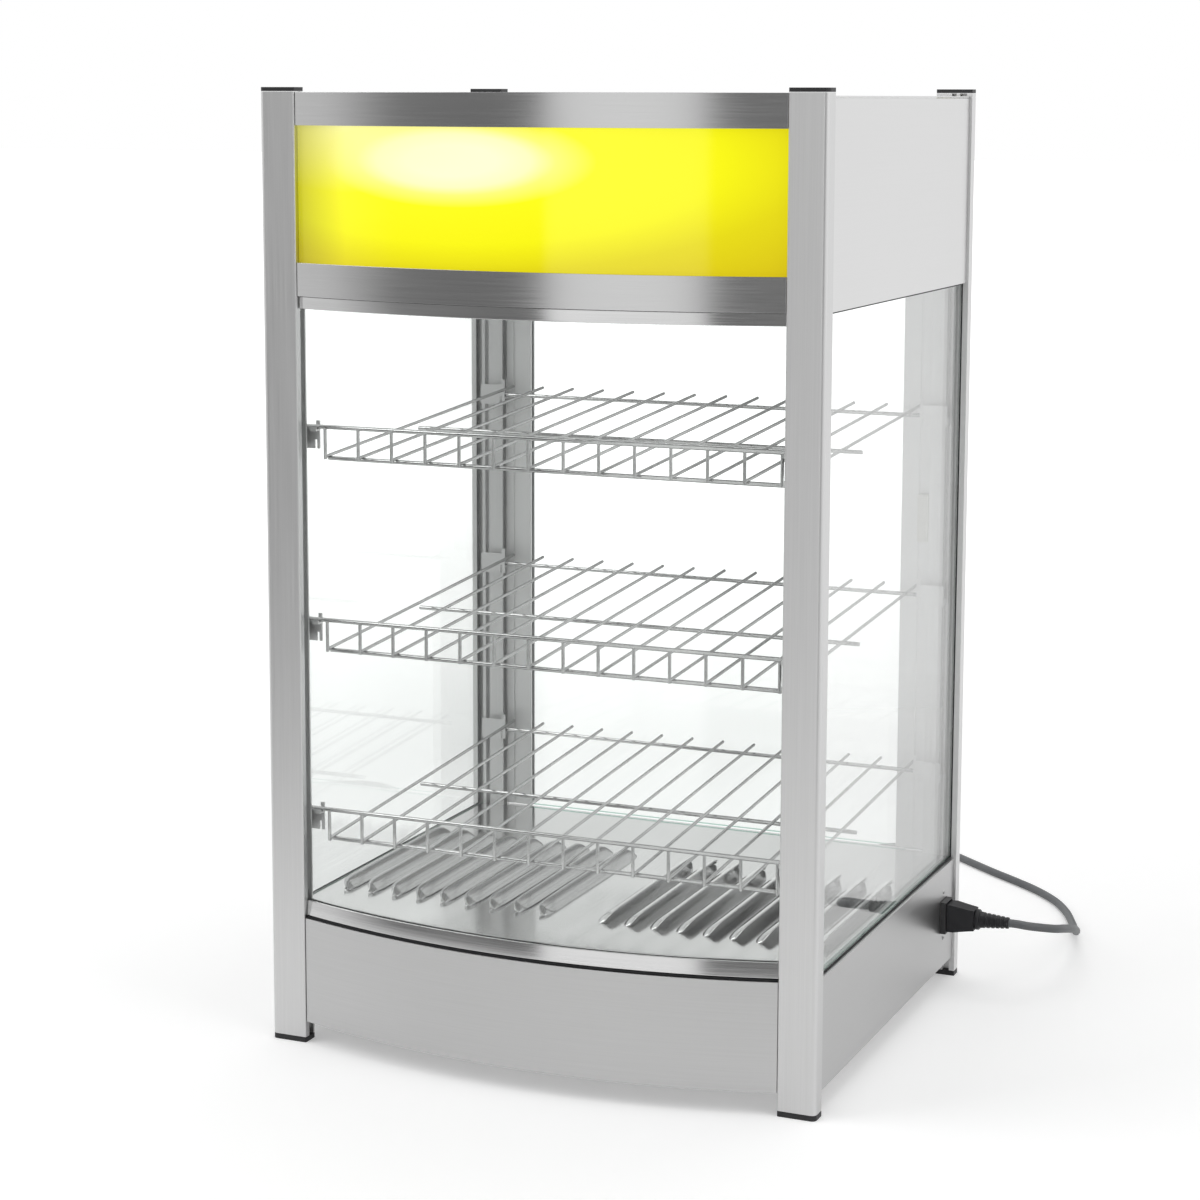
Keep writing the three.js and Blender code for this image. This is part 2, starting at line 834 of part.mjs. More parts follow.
function addSideGlazing() {
  const z = [base.sideTop + fit, headerBottom - fit];
  const paneY = -postRear + sideGlazing.glassInSlot;
  const outerY = -postRear + sideGlazing.gasketInSlot;
  const innerY = outerY - sideGlazing.gasketWidth;
  const innerZ = [z[0] + sideGlazing.gasketHeight, z[1] - sideGlazing.gasketHeight];
  for (const [side, s] of [['left', -1], ['right', 1]]) {
    // The span in x of a sheet that starts inset from the cabinet's side
    const span = (inset, thickness) => (
      around(s * (halfWidth - inset - thickness / 2), thickness)
    );
    const frame = block(span(sideGlazing.gasketInset, sideGlazing.gasket), [-outerY, outerY], z);
    const opening = block(
      span(sideGlazing.gasketInset - overrun, sideGlazing.gasket + 2 * overrun),
      [-innerY, innerY],
      innerZ,
    );
    add(`side_gasket_${side}`, cut(frame, [opening]), 'black');
    const paneX = span(sideGlazing.glassInset, sideGlazing.glass);
    add(`side_glass_${side}`, block(paneX, [-paneY, paneY], z), 'glass');
  }
}

// The base with its cut-outs

function addBase() {
  const half = innerHalf - fit;
  const baseZ = [base.bottom, baseTop];
  add('base_front', bowed([
    [0, baseZ[0]], [0, baseZ[1]], [header.railFlange, baseZ[1]], [header.railFlange, baseZ[1] - base.wall],
    [base.wall, baseZ[1] - base.wall], [base.wall, baseZ[0] + base.wall],
    [header.railFlange, baseZ[0] + base.wall], [header.railFlange, baseZ[0]],
  ], half), 'steel');
  const sideZ = [base.bottom, base.sideTop];
  const left = alongY(foldedSection(-panelFace, 1, sheet, sideZ), panelRun);
  const right = alongY(foldedSection(panelFace, -1, sheet, sideZ), panelRun);
  const inletHole = block(
    [panelFace - sheet - overrun, panelFace + overrun],
    around(inletY, inlet.bodyY + 2 * fit),
    around(inlet.height, inlet.bodyZ + 2 * fit),
  );
  add('base_side_left', left, 'steel');
  add('base_side_right', cut(right, [inletHole]), 'steel');
  const back = alongX(foldedSection(backFace, -1, sheet, sideZ), [-half, half]);
  const throughBack = [backFace - sheet - overrun, backFace + overrun];
  const { holeRadius, sides } = thermostat;
  const shaftHole = new THREE.CylinderGeometry(holeRadius, holeRadius, 2 * (overrun + sheet), sides)
    .translate(thermostatX, backFace, thermostat.height);
  const rockerHole = (x) => block(
    around(x, rocker.bodyWidth + 2 * fit),
    throughBack,
    around(rocker.height, rocker.bodyHeight + 2 * fit),
  );
  add('base_back', cut(back, [shaftHole, rockerHole(heatX), rockerHole(lightX)]), 'steel');
}

// The bottom cover carries the heater on two folded-up rests and has rows of air slots
function addBottomCover() {
  const sideX = panelFace - sheet - fit;
  const rearY = backFace - sheet - fit;
  const plate = raised(platePlan(sideX, rearY, base.wall + fit), [bottomCoverBottom, bottomCoverTop]);
  const slots = [];
  const slotY = around(backY - vent.backInset, vent.length);
  const throughPlate = [bottomCoverBottom - overrun, bottomCoverTop + overrun];
  for (const side of [-1, 1]) {
    for (let i = 0; i < vent.count; i++) {
      const x = side * (halfWidth - vent.sideInset) + (i - (vent.count - 1) / 2) * vent.pitch;
      slots.push(block(around(x, vent.width), slotY, throughPlate));
    }
  }
  const restHalf = ((element.runs - 1) * runPitch) / 2 + element.restOverhang;
  const restZ = [bottomCoverTop - weld, element.height - element.radius - fit];
  const rests = [-1, 1].map((side) => block(
    [-restHalf, restHalf],
    around(side * (runReach - element.restInset), element.restSheet),
    restZ,
  ));
  add('bottom_cover', join([cut(plate, slots), ...rests]), 'sheet');
}

// The tubular heater runs to and fro under the floor
function addHeater() {
  const bends = [];
  for (let i = 0; i < element.runs; i++) {
    const x = (i - (element.runs - 1) / 2) * runPitch;
    const forwards = i % 2 === 0;
    const first = i === 0 ? runReach + element.tailLength : runReach;
    const last = i === element.runs - 1 ? runReach + element.tailLength : runReach;
    bends.push(new THREE.Vector3(x, forwards ? first : -runReach, element.height));
    bends.push(new THREE.Vector3(x, forwards ? -runReach : last, element.height));
  }
  const points = rounded(bends, runPitch / 2 - fit, element.bendSteps);
  add('heating_element', bar(points, element.radius, element.sides), 'element');
}

// The pressed floor

// One hood: its skin is lofted along y, low and narrow at both ends and full in between
function hood(inner, outward) {
  const arch = louvre.archShares;
  const section = (heightShare, widthShare) => {
    const top = louvre.height * heightShare;
    const width = louvre.width * widthShare;
    const skin = Math.min(louvre.skin, top);
    const start = (louvre.width - width) / 2;
    const outside = arch.map(([u, v]) => [start + u * width, v * top]);
    const inside = arch.map(([u, v]) => [start + skin + u * (width - skin), v * top - skin]);
    return [...outside, ...inside.reverse()];
  };
  const startY = frontY + louvre.front;
  const endY = startY + louvreLength;
  const shares = louvre.endShares;
  const stations = [
    ...shares.map(([along, high, wide]) => [startY + along * louvre.taper, high, wide]),
    ...shares.map(([along, high, wide]) => [endY - along * louvre.taper, high, wide]).reverse(),
  ];
  const points = [];
  for (const [y, high, wide] of stations) {
    for (const [u, v] of section(high, wide)) {
      points.push(new THREE.Vector3(outward * (inner + u), y, floorTop - weld + v));
    }
  }
  return lofted(points, stations.length);
}

// Joins equal rings of points into one closed skin
function lofted(points, rings) {
  const n = points.length / rings;
  const triangles = [];
  for (let i = 0; i < rings - 1; i++) {
    for (let j = 0; j < n; j++) {
      const a = i * n + j;
      const b = i * n + ((j + 1) % n);
      triangles.push([a, b, b + n], [a, b + n, a + n]);
    }
  }
  const end = n * (rings - 1);
  for (let j = 0; j < n / 2 - 1; j++) {
    const k = n - 1 - j;
    triangles.push([j, k, k - 1], [j, k - 1, j + 1]);
    triangles.push([end + j, end + k - 1, end + k], [end + j, end + j + 1, end + k - 1]);
  }
  return closedGeometry(points, triangles);
}

function addFloor() {
  const inset = glazing.glassInset + glazing.glass + glazing.trimGap + glazing.trimWall + fit;
  const plan = platePlan(floorHalf, backY - floor.backInset, inset);
  const plate = raised(plan, [floorBottom, floorTop]);
  const slots = [];
  const hoods = [];
  const slotStart = frontY + louvre.front + louvre.taper;
  const slotY = [slotStart, slotStart + louvreLength - 2 * louvre.taper];
  const slotWidth = louvre.width - louvre.slotInset;
  for (const side of [-1, 1]) {
    for (let i = 0; i < louvre.count; i++) {
      const inner = louvre.first + i * louvrePitch;
      slots.push(block(
        around(side * (inner + louvre.slotInset + slotWidth / 2), slotWidth),
        slotY,
        [floorBottom - overrun, floorTop + overrun],
      ));
      hoods.push(hood(inner, side));
    }
  }
  add('floor_plate', join([cut(plate, slots), ...hoods]), 'floor');
}

// Wire shelves: carried at clip height front and rear, with the floor dropped along the front

function shelfBars(level) {
  const across = shelf.rimRadius + shelf.wireRadius - weld;
  const outerWire = halfWidth - shelf.wireInset;
  const carrierHalf = halfWidth - shelf.endInset;
  const start = { y: -carrierY, z: level - shelf.lip };
  const end = { y: carrierY, z: level - shelf.rearDrop + across };
  const runZ = (y) => start.z + ((end.z - start.z) * (y - start.y)) / (end.y - start.y);
  const crossBar = (y, z, half) => bar(
    [new THREE.Vector3(shelf.toRight - half, y, z), new THREE.Vector3(shelf.toRight + half, y, z)],
    shelf.rimRadius,
    shelf.wireSides,
  );
  const crossY = shelf.frontCross - carrierY;
  const bars = [
    crossBar(-carrierY, level, carrierHalf - shelf.toRight),
    crossBar(carrierY, level - shelf.rearDrop, carrierHalf - shelf.toRight),
    crossBar(crossY, runZ(crossY) + across, outerWire + shelf.frontCrossOver),
    crossBar(0, runZ(0) - across, outerWire + shelf.midCrossOver),
  ];
  const tailY = carrierY + shelf.tail;
  for (let i = 0; i < shelf.wires; i++) {
    const x = shelf.toRight + i * wirePitch - outerWire;
    const corners = [
      new THREE.Vector3(x, -carrierY, level),
      new THREE.Vector3(x, start.y, start.z),
      new THREE.Vector3(x, tailY, runZ(tailY)),
    ];
    bars.push(bar(rounded(corners, shelf.bendRadius, shelf.bendSteps), shelf.wireRadius, shelf.wireSides));
  }
  return bars;
}

function addShelves() {
  ['bottom', 'middle', 'top'].forEach((name, i) => {
    add(`shelf_${name}`, join(shelfBars(shelfLevels[i])), 'chrome');
  });
}

// The rear door on two lift-off hinges

const hingeAxis = { x: -innerHalf + door.gap / 2, y: backY + hinge.axisBehind };
const hingeHeights = [doorBottom + hinge.endMargin, doorTop - hinge.endMargin];

// An upright cylinder round the door's pin
function onHinge(radius, z) {
  return new THREE.CylinderGeometry(radius, radius, z[1] - z[0], hinge.sides)
    .rotateX(Math.PI / 2).translate(hingeAxis.x, hingeAxis.y, (z[0] + z[1]) / 2);
}

// A stile's section from its outer edge; s is the side that faces the glass
function stileOutline(edge, s) {
  const inner = edge + s * door.stile;
  const back = backY;
  const front = backY - door.thickness;
  const middle = (back + front) / 2;
  const slot = door.glass / 2 + fit;
  const revealX = edge + s * (door.stile - door.groove) / 2;
  return [
    [edge, front],
    [revealX - s * door.reveal / 2, front],
    [revealX - s * door.reveal / 2, front + door.revealDepth],
    [revealX + s * door.reveal / 2, front + door.revealDepth],
    [revealX + s * door.reveal / 2, front],
    [inner, front],
    [inner, middle - slot],
    [inner - s * door.groove, middle - slot],
    [inner - s * door.groove, middle + slot],
    [inner, middle + slot],
    [inner, back],
    [edge, back],
  ];
}

function addDoor() {
  const doorZ = [doorBottom, doorTop];
  const glassHalf = doorHalf - door.stile + door.groove - fit;
  const glassY = around(backY - door.thickness / 2, door.glass);
  add('door_glass', block([-glassHalf, glassHalf], glassY, doorZ), 'glass');
  const hingeStile = [raised(stileOutline(-doorHalf, 1), doorZ)];
  const bores = [];
  for (const z of hingeHeights) {
    const upper = [z, z + hinge.halfHeight];
    const leafX = [hingeAxis.x, hingeAxis.x + hinge.leafWidth];
    hingeStile.push(block(leafX, [backY - weld, backY + hinge.leaf], upper));
    hingeStile.push(onHinge(hinge.barrelRadius, upper));
    bores.push(onHinge(hinge.pinRadius + fit, [upper[0] - overrun, upper[1] + overrun]));
  }
  add('door_stile_hinge', cut(join(hingeStile), bores), 'steel');
  add('door_stile_latch', raised(stileOutline(doorHalf, -1), doorZ), 'steel');
  ['hinge_lower', 'hinge_upper'].forEach((name, i) => {
    const z = hingeHeights[i];
    const lower = [z - fit - hinge.halfHeight, z - fit];
    const leafY = [backY + fit, backY + fit + hinge.leaf];
    add(name, join([
      block([-innerHalf - hinge.leafWidth, hingeAxis.x], leafY, lower),
      onHinge(hinge.barrelRadius, lower),
      onHinge(hinge.pinRadius, [lower[1] - weld, z + hinge.halfHeight]),
    ]), 'steel');
  });
  const knobX = doorHalf - door.stile / 2;
  const knobZ = (doorBottom + doorTop) / 2;
  const profile = [
    [0, 0],
    [knob.footRadius, 0],
    [knob.footRadius, knob.footLength],
    [knob.neckRadius, knob.footLength],
    [knob.neckRadius, knob.length - knob.headLength],
    [knob.headRadius, knob.length - knob.headLength + knob.edge],
    [knob.headRadius, knob.length - knob.edge],
    [knob.headRadius - knob.edge, knob.length],
    [0, knob.length],
  ];
  const knobTurned = turned(profile, knob.sides).rotateX(-Math.PI / 2);
  add('door_knob', knobTurned.translate(knobX, backY + fit, knobZ), 'black');
  const catchX = innerHalf - fit;
  const catchY = backY - door.thickness - fit;
  add('door_catch', block(
    [catchX - doorCatch.width, catchX],
    [catchY - doorCatch.depth, catchY],
    around(knobZ + doorCatch.aboveKnob, doorCatch.height),
  ), 'white');
}

// Controls on the rear panel

function addThermostat() {
  const x = thermostatX;
  const z = thermostat.height;
  const inside = backFace - sheet - fit;
  const outside = backFace + thermostat.standOff;
  const alongDepth = (radius, y) => (
    new THREE.CylinderGeometry(radius, radius, y[1] - y[0], thermostat.sides)
      .translate(x, (y[0] + y[1]) / 2, z)
  );
  const body = block(
    around(x, thermostat.body),
    [inside - thermostat.bodyDepth, inside],
    around(z, thermostat.body),
  );
  const boreY = [inside - thermostat.shaftInside - fit, inside + overrun];
  const bore = alongDepth(thermostat.shaftRadius + fit, boreY);
  add('thermostat_body', cut(body, [bore]), 'white');
  const skirt = alongDepth(thermostat.skirtRadius, [outside, outside + thermostat.skirt]);
  const grip = block(
    around(x, thermostat.gripWidth),
    [outside + thermostat.skirt - weld, outside + thermostat.skirt + thermostat.gripHeight],
    around(z, thermostat.gripLength),
  );
  const shaft = alongDepth(thermostat.shaftRadius, [inside - thermostat.shaftInside, outside + weld]);
  add('thermostat_knob', join([skirt, grip, shaft]), 'black');
}

function addRockers() {
  const face = backFace + fit + rocker.bezel;
  const pivotY = face - rocker.pivotDepth;
  for (const [name, x] of [['heat', heatX], ['light', lightX]]) {
    const box = (width, y, height) => block(around(x, width), y, around(rocker.height, height));
    const bezel = box(rocker.bezelWidth, [backFace + fit, face], rocker.bezelHeight);
    const body = box(rocker.bodyWidth, [face - rocker.bodyDepth, face - weld], rocker.bodyHeight);
    const well = box(rocker.wellWidth, [face - rocker.wellDepth, face + overrun], rocker.wellHeight);
    add(`${name}_switch_housing`, cut(join([bezel, body]), [well]), 'black');
    const half = rocker.length / 2;
    const rise = half * Math.tan(rocker.tilt);
    const outline = [
      [rocker.thickness / 2 - rise, 0],
      [rocker.thickness / 2, half],
      [-rocker.thickness / 2, half],
      [-rocker.thickness / 2, -half],
      [rocker.thickness / 2, -half],
    ];
    const paddle = alongX(outline, around(0, rocker.width)).rotateX(rocker.tilt);
    add(`${name}_switch`, paddle.translate(x, pivotY, rocker.height), name === 'light' ? 'white' : 'black');
  }
}

// Power inlet, cord and plug

const inletFace = panelFace + inlet.proud;
const blades = [
  [0, inlet.earthOffset],
  [-inlet.bladeSpread, -inlet.earthOffset],
  [inlet.bladeSpread, -inlet.earthOffset],
];

function addInlet() {
  const inside = panelFace - sheet - fit;
  const back = inletFace - inlet.bodyDepth;
  const bodyY = around(inletY, inlet.bodyY);
  const bodyZ = around(inlet.height, inlet.bodyZ);
  const wellBack = back + inlet.floor;
  const cavity = block(
    [wellBack, inletFace + overrun],
    around(inletY, inlet.bodyY - 2 * inlet.wall),
    around(inlet.height, inlet.bodyZ - 2 * inlet.wall),
  );
  const flangeYZ = [around(inletY, inlet.flangeY), around(inlet.height, inlet.flangeZ)];
  const shell = cut(join([
    block([back, inletFace], bodyY, bodyZ),
    block([inside - inlet.flange, inside], ...flangeYZ),
  ]), [cavity]);
  const pins = blades.map(([z, y]) => block(
    [wellBack - weld, wellBack + inlet.bladeLength],
    around(inletY + y, inlet.bladeY),
    around(inlet.height + z, inlet.bladeZ),
  ));
  add('power_inlet', join([shell, ...pins]), 'black');
}

function addConnector() {
  const noseY = inlet.bodyY - 2 * inlet.wall - 2 * fit;
  const noseZ = inlet.bodyZ - 2 * inlet.wall - 2 * fit;
  const shoulder = inletFace + fit;
  const noseBack = inletFace - connector.nose;
  const nose = block([noseBack, shoulder + weld], around(inletY, noseY), around(inlet.height, noseZ));
  const bladeEnd = inletFace - inlet.bodyDepth + inlet.floor + inlet.bladeLength;
  const pockets = blades.map(([z, y]) => block(
    [noseBack - overrun, bladeEnd + connector.pocketPlay],
    around(inletY + y, inlet.bladeY + 2 * connector.pocketPlay),
    around(inlet.height + z, inlet.bladeZ + 2 * connector.pocketPlay),
  ));
  const points = [];
  const neck = shoulder + connector.gripLength;
  const gripEnds = [
    [shoulder, connector.gripY, connector.gripZ],
    [neck, connector.neckY, connector.neckZ],
  ];
  for (const [x, sizeY, sizeZ] of gripEnds) {
    for (const [a, b] of [[-1, -1], [1, -1], [1, 1], [-1, 1]]) {
      points.push(new THREE.Vector3(x, inletY + (a * sizeY) / 2, inlet.height + (b * sizeZ) / 2));
    }
  }
  const grip = lofted(points, 2);
  const ringEnd = neck + connector.ring;
  const reliefEnd = ringEnd + connector.reliefLength;
  const tail = turned([
    [0, neck - weld],
    [connector.ringRadius, neck - weld],
    [connector.ringRadius, ringEnd],
    [connector.reliefStart, ringEnd],
    [connector.reliefEnd, reliefEnd],
    [0, reliefEnd],
  ], connector.sides).rotateY(Math.PI / 2).translate(0, inletY, inlet.height);
  add('connector', join([toGeometry(joined([nose]).subtract(joined(pockets))), grip, tail]), 'black');
  return new THREE.Vector3(reliefEnd, inletY, inlet.height);
}

// The route from the connector's end to the coil behind the cabinet
function cordRoute(exit) {
  const low = cord.radius + cord.floorPlay;
  const start = exit.x + fit;
  return [
    new THREE.Vector3(start, exit.y, exit.z),
    new THREE.Vector3(start + coil.straight, exit.y, exit.z),
    ...cord.falling.map(([right, behind, heightShare]) => (
      new THREE.Vector3(exit.x + right, exit.y + behind, low + (exit.z - low) * heightShare)
    )),
    ...cord.lying.map(([right, behind]) => new THREE.Vector3(exit.x + right, exit.y + behind, low)),
  ];
}

// The cord meets the coil at the coil's right-hand side, running towards the cabinet
function coilPoints(start) {
  const centre = new THREE.Vector2(start.x - coil.outerRadius, start.y - coil.straight);
  const low = start.z;
  const turnPoint = coil.layerTurns + coil.climbTurns / 2;
  const points = [start.clone()];
  const count = Math.round(coil.turns * coil.stepsPerTurn);
  for (let i = 0; i <= count; i++) {
    const t = (i * coil.turns) / count;
    const radius = coil.outerRadius - coil.pitch * (turnPoint - Math.abs(t - turnPoint));
    const climb = THREE.MathUtils.smoothstep(t, coil.layerTurns, coil.layerTurns + coil.climbTurns);
    const angle = -2 * Math.PI * t;
    points.push(new THREE.Vector3(
      centre.x + radius * Math.cos(angle),
      centre.y + radius * Math.sin(angle),
      low + coil.pitch * climb,
    ));
  }
  const last = points[points.length - 1];
  const plugAxis = plug.bodyRadius + plug.floorPlay;
  for (let i = 1; i <= coil.tailSteps; i++) {
    const share = i / coil.tailSteps;
    points.push(new THREE.Vector3(
      last.x - coil.tail * share,
      last.y,
      last.z + (plugAxis - last.z) * THREE.MathUtils.smootherstep(share, 0, 1),
    ));
  }
  const end = points[points.length - 1];
  points.push(new THREE.Vector3(end.x - coil.straight, end.y, end.z));
  return points;
}

// The least air between two stretches of the coil that are not neighbours along it
function coilGap(points) {
  const skip = Math.ceil(coil.stepsPerTurn / 4);
  const near = new THREE.Vector3();
  let least = Infinity;
  for (let i = 0; i < points.length; i++) {
    for (let j = i + skip; j < points.length - 1; j++) {
      new THREE.Line3(points[j], points[j + 1]).closestPointToPoint(points[i], true, near);
      least = Math.min(least, near.distanceTo(points[i]) - 2 * cord.radius);
    }
  }
  return least;
}

const lengthOf = (points) => points.slice(1).reduce((sum, p, i) => sum + p.distanceTo(points[i]), 0);

function addCord(exit) {
  const route = cordRoute(exit);
  const curve = new THREE.CatmullRomCurve3(route, false, 'centripetal');
  const shape = new THREE.Shape(ring(cord.radius, cord.sides, Math.PI / cord.sides));
  const run = { steps: cord.steps, bevelEnabled: false, extrudePath: curve };
  add('cord', new THREE.ExtrudeGeometry(shape, run), 'cord');
  const start = route[route.length - 1].clone();
  start.y -= fit;
  const winding = coilPoints(start);
  add('cord_coil', bar(winding, cord.radius, coil.sides), 'cord');
  console.log('least gap in the coil, mm:', coilGap(winding).toFixed(2));
  console.log('cord and coil length, mm:', Math.round(curve.getLength() + lengthOf(winding)));
  return winding[winding.length - 1];
}

function addPlug(end) {
  const reliefTop = plug.reliefLength;
  const bodyStart = reliefTop + plug.taperLength;
  const bodyEnd = bodyStart + plug.bodyLength;
  const body = turned([
    [0, 0],
    [plug.reliefStart, 0],
    [plug.reliefEnd, reliefTop],
    [plug.backRadius, reliefTop],
    [plug.bodyRadius, bodyStart],
    [plug.bodyRadius, bodyEnd],
    [0, bodyEnd],
  ], plug.sides);
  const pinMiddle = bodyEnd + (plug.pinLength - weld) / 2;
  const pins = [-1, 1].map((side) => (
    new THREE.CylinderGeometry(plug.pinRadius, plug.pinRadius, plug.pinLength + weld, plug.pinSides)
      .rotateX(Math.PI / 2)
      .translate(side * plug.pinSpread, 0, pinMiddle)
  ));
  const whole = join([body, ...pins]).rotateZ(Math.PI / 2).rotateY(-Math.PI / 2);
  add('wall_plug', whole.translate(end.x - fit, end.y, end.z), 'black');
}

addPosts();
addHeader();
addLamp();
addFrontGlazing();
addSideGlazing();
addBase();
addBottomCover();
addHeater();
addFloor();
addShelves();
addDoor();
addThermostat();
addRockers();
addInlet();
addPlug(addCord(addConnector()));

// The origin is the bottom centre of the box that the cabinet fills without its cord
const proudRight = inletFace - halfWidth;
const proudFront = bow.rise - bow.setback;
const proudBack = fit + knob.length;
part.position.set(-proudRight / 2, (proudFront - proudBack) / 2, 0);

export default part;
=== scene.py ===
import json
import math

import bmesh
import bpy
from mathutils import Matrix, Vector

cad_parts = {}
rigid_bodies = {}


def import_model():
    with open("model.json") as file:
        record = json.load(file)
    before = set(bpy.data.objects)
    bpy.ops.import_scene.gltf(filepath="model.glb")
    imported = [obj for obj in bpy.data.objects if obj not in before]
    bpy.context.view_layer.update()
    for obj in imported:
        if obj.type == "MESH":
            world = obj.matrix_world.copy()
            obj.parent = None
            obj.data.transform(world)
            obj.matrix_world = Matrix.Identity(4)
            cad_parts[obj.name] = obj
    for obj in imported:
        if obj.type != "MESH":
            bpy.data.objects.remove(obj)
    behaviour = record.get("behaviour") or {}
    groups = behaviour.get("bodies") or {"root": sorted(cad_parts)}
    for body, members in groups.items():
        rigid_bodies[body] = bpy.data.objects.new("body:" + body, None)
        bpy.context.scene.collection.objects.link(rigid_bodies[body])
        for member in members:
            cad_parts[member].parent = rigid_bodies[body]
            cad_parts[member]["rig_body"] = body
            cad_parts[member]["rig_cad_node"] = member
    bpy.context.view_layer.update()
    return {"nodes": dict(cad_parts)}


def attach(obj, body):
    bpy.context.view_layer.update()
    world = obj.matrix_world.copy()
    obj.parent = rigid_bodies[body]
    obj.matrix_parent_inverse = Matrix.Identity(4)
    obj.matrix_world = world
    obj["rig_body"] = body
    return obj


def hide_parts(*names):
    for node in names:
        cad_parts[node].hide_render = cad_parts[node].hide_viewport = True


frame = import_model()
nodes = frame["nodes"]
root = "cabinet"
print("frame loaded:", len(nodes), "nodes")

# Some places below count from the middle of the posts, and this is where that lies in the frame
sourceShift = Vector((-0.0015, 0.00135, 0))


# Working steps that every piece uses

closeness = {
    "solid": 0.000002,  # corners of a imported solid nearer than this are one
    "modelled": 0.000005,  # the same for a piece that is modelled here
    "row": 0.00001,  # corners of a hood nearer than this along it are one row
    "flat": 0.5,  # degrees between faces that count as one
}


def leaveEdit():
    if bpy.context.object and bpy.context.object.mode != "OBJECT":
        bpy.ops.object.mode_set(mode="OBJECT")


def clearSelection():
    leaveEdit()
    bpy.ops.object.select_all(action="DESELECT")


def pickPiece(*pieces):
    clearSelection()
    for piece in pieces:
        piece.select_set(True)
    bpy.context.view_layer.objects.active = pieces[0]


# Run an operator that adds an object, and hand over what it added
def startPiece(add, **settings):
    clearSelection()
    add(**settings)
    return bpy.context.active_object


def editPiece(piece, mode="FACE"):
    pickPiece(piece)
    bpy.ops.object.mode_set(mode="EDIT")
    bpy.ops.mesh.select_mode(type=mode)


def selectAll():
    bpy.ops.mesh.select_all(action="SELECT")


def pickVertices(piece, wanted):
    bpy.ops.mesh.select_all(action="DESELECT")
    mesh = bmesh.from_edit_mesh(piece.data)
    for vertex in mesh.verts:
        if wanted(vertex.co):
            vertex.select_set(True)
    mesh.select_flush(True)
    bmesh.update_edit_mesh(piece.data)


def settlePlace(piece):
    pickPiece(piece)
    bpy.ops.object.transform_apply(location=True, rotation=True, scale=True)


def applyModifier(piece, kind, **settings):
    pickPiece(piece)
    modifier = piece.modifiers.new(kind.title(), kind)
    for key, value in settings.items():
        setattr(modifier, key, value)
    bpy.ops.object.modifier_apply(modifier=modifier.name)


def roundEdges(piece, width, segments=2, degrees=40):
    applyModifier(
        piece,
        "BEVEL",
        width=width,
        segments=segments,
        limit_method="ANGLE",
        angle_limit=math.radians(degrees),
        use_clamp_overlap=True,
    )


def smoothPiece(piece, degrees=35, weighted=True, weight=60):
    pickPiece(piece)
    bpy.ops.object.shade_smooth_by_angle(angle=math.radians(degrees))
    if weighted:
        applyModifier(piece, "WEIGHTED_NORMAL", keep_sharp=True, weight=weight)


def turnOutwards(piece):
    editPiece(piece)
    selectAll()
    bpy.ops.mesh.remove_doubles(threshold=closeness["modelled"])
    bpy.ops.mesh.normals_make_consistent(inside=False)
    leaveEdit()


def joinPieces(name, pieces):
    pickPiece(*pieces)
    if len(pieces) > 1:
        bpy.ops.object.join()
    joined = bpy.context.active_object
    joined.name = name
    joined.data.name = name
    return joined


def ownCopy(piece, name):
    pickPiece(piece)
    bpy.ops.object.duplicate(linked=False)
    copy = bpy.context.active_object
    copy.name = name
    copy.data.name = name
    return copy


# A copy of a node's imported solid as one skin; it is left in edit mode, with all selected
def solidCopy(node, name):
    piece = ownCopy(nodes[node], name)
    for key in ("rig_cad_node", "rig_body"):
        del piece[key]
    piece.parent = None
    editPiece(piece)
    bpy.ops.mesh.customdata_custom_splitnormals_clear()
    selectAll()
    bpy.ops.mesh.remove_doubles(threshold=closeness["solid"])
    selectAll()
    return piece


def movePiece(piece, offset):
    pickPiece(piece)
    bpy.ops.transform.translate(value=offset)
    settlePlace(piece)


# A drawn-out piece: a disc that is extruded and resized from station to station. Each station
# is (height, width, depth), and four sides make a rectangle.
def drawnPiece(name, stations, sides):
    radius, turn = (math.sqrt(0.5), math.pi / 4) if sides == 4 else (0.5, 0)
    height, width, depth = stations[0]
    piece = startPiece(
        bpy.ops.mesh.primitive_circle_add,
        vertices=sides,
        radius=radius,
        fill_type="NGON",
        rotation=(0, 0, turn),
    )
    piece.name = name
    settlePlace(piece)
    editPiece(piece)
    selectAll()
    bpy.ops.transform.resize(value=(width, depth, 1), center_override=(0, 0, 0))
    bpy.ops.transform.translate(value=(0, 0, height))
    for nextHeight, nextWidth, nextDepth in stations[1:]:
        bpy.ops.mesh.extrude_region_move(
            TRANSFORM_OT_translate={"value": (0, 0, nextHeight - height)}
        )
        bpy.ops.transform.resize(
            value=(nextWidth / width, nextDepth / depth, 1),
            center_override=(0, 0, nextHeight),
        )
        height, width, depth = nextHeight, nextWidth, nextDepth
    leaveEdit()
    turnOutwards(piece)
    return piece


def roundStations(pairs):
    return [(height, size, size) for height, size in pairs]


# Turn a piece from its upright stand so that its height runs along the direction, and place it
def aimPiece(piece, direction, place):
    piece.rotation_euler = Vector(direction).to_track_quat("Z", "Y").to_euler()
    settlePlace(piece)
    movePiece(piece, place)


# A block between two corners, as a primitive that later steps shape
def blockPiece(name, low, high):
    low, high = Vector(low), Vector(high)
    piece = startPiece(bpy.ops.mesh.primitive_cube_add, size=1, location=(low + high) / 2)
    piece.name = name
    piece.scale = high - low
    settlePlace(piece)
    return piece


def dress(piece, finish):
    piece.data.materials.clear()
    piece.data.materials.append(finishes[finish])


# Put a piece on its body; it wears its slot's finish, another, or what it is dressed in already
def mountPiece(piece, body, slot, replaced=(), finish=None, dressed=False):
    if not dressed:
        dress(piece, finish or slot)
    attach(piece, body)
    if replaced:
        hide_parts(*replaced)
    return piece


# Camera, at the photograph's viewing angle

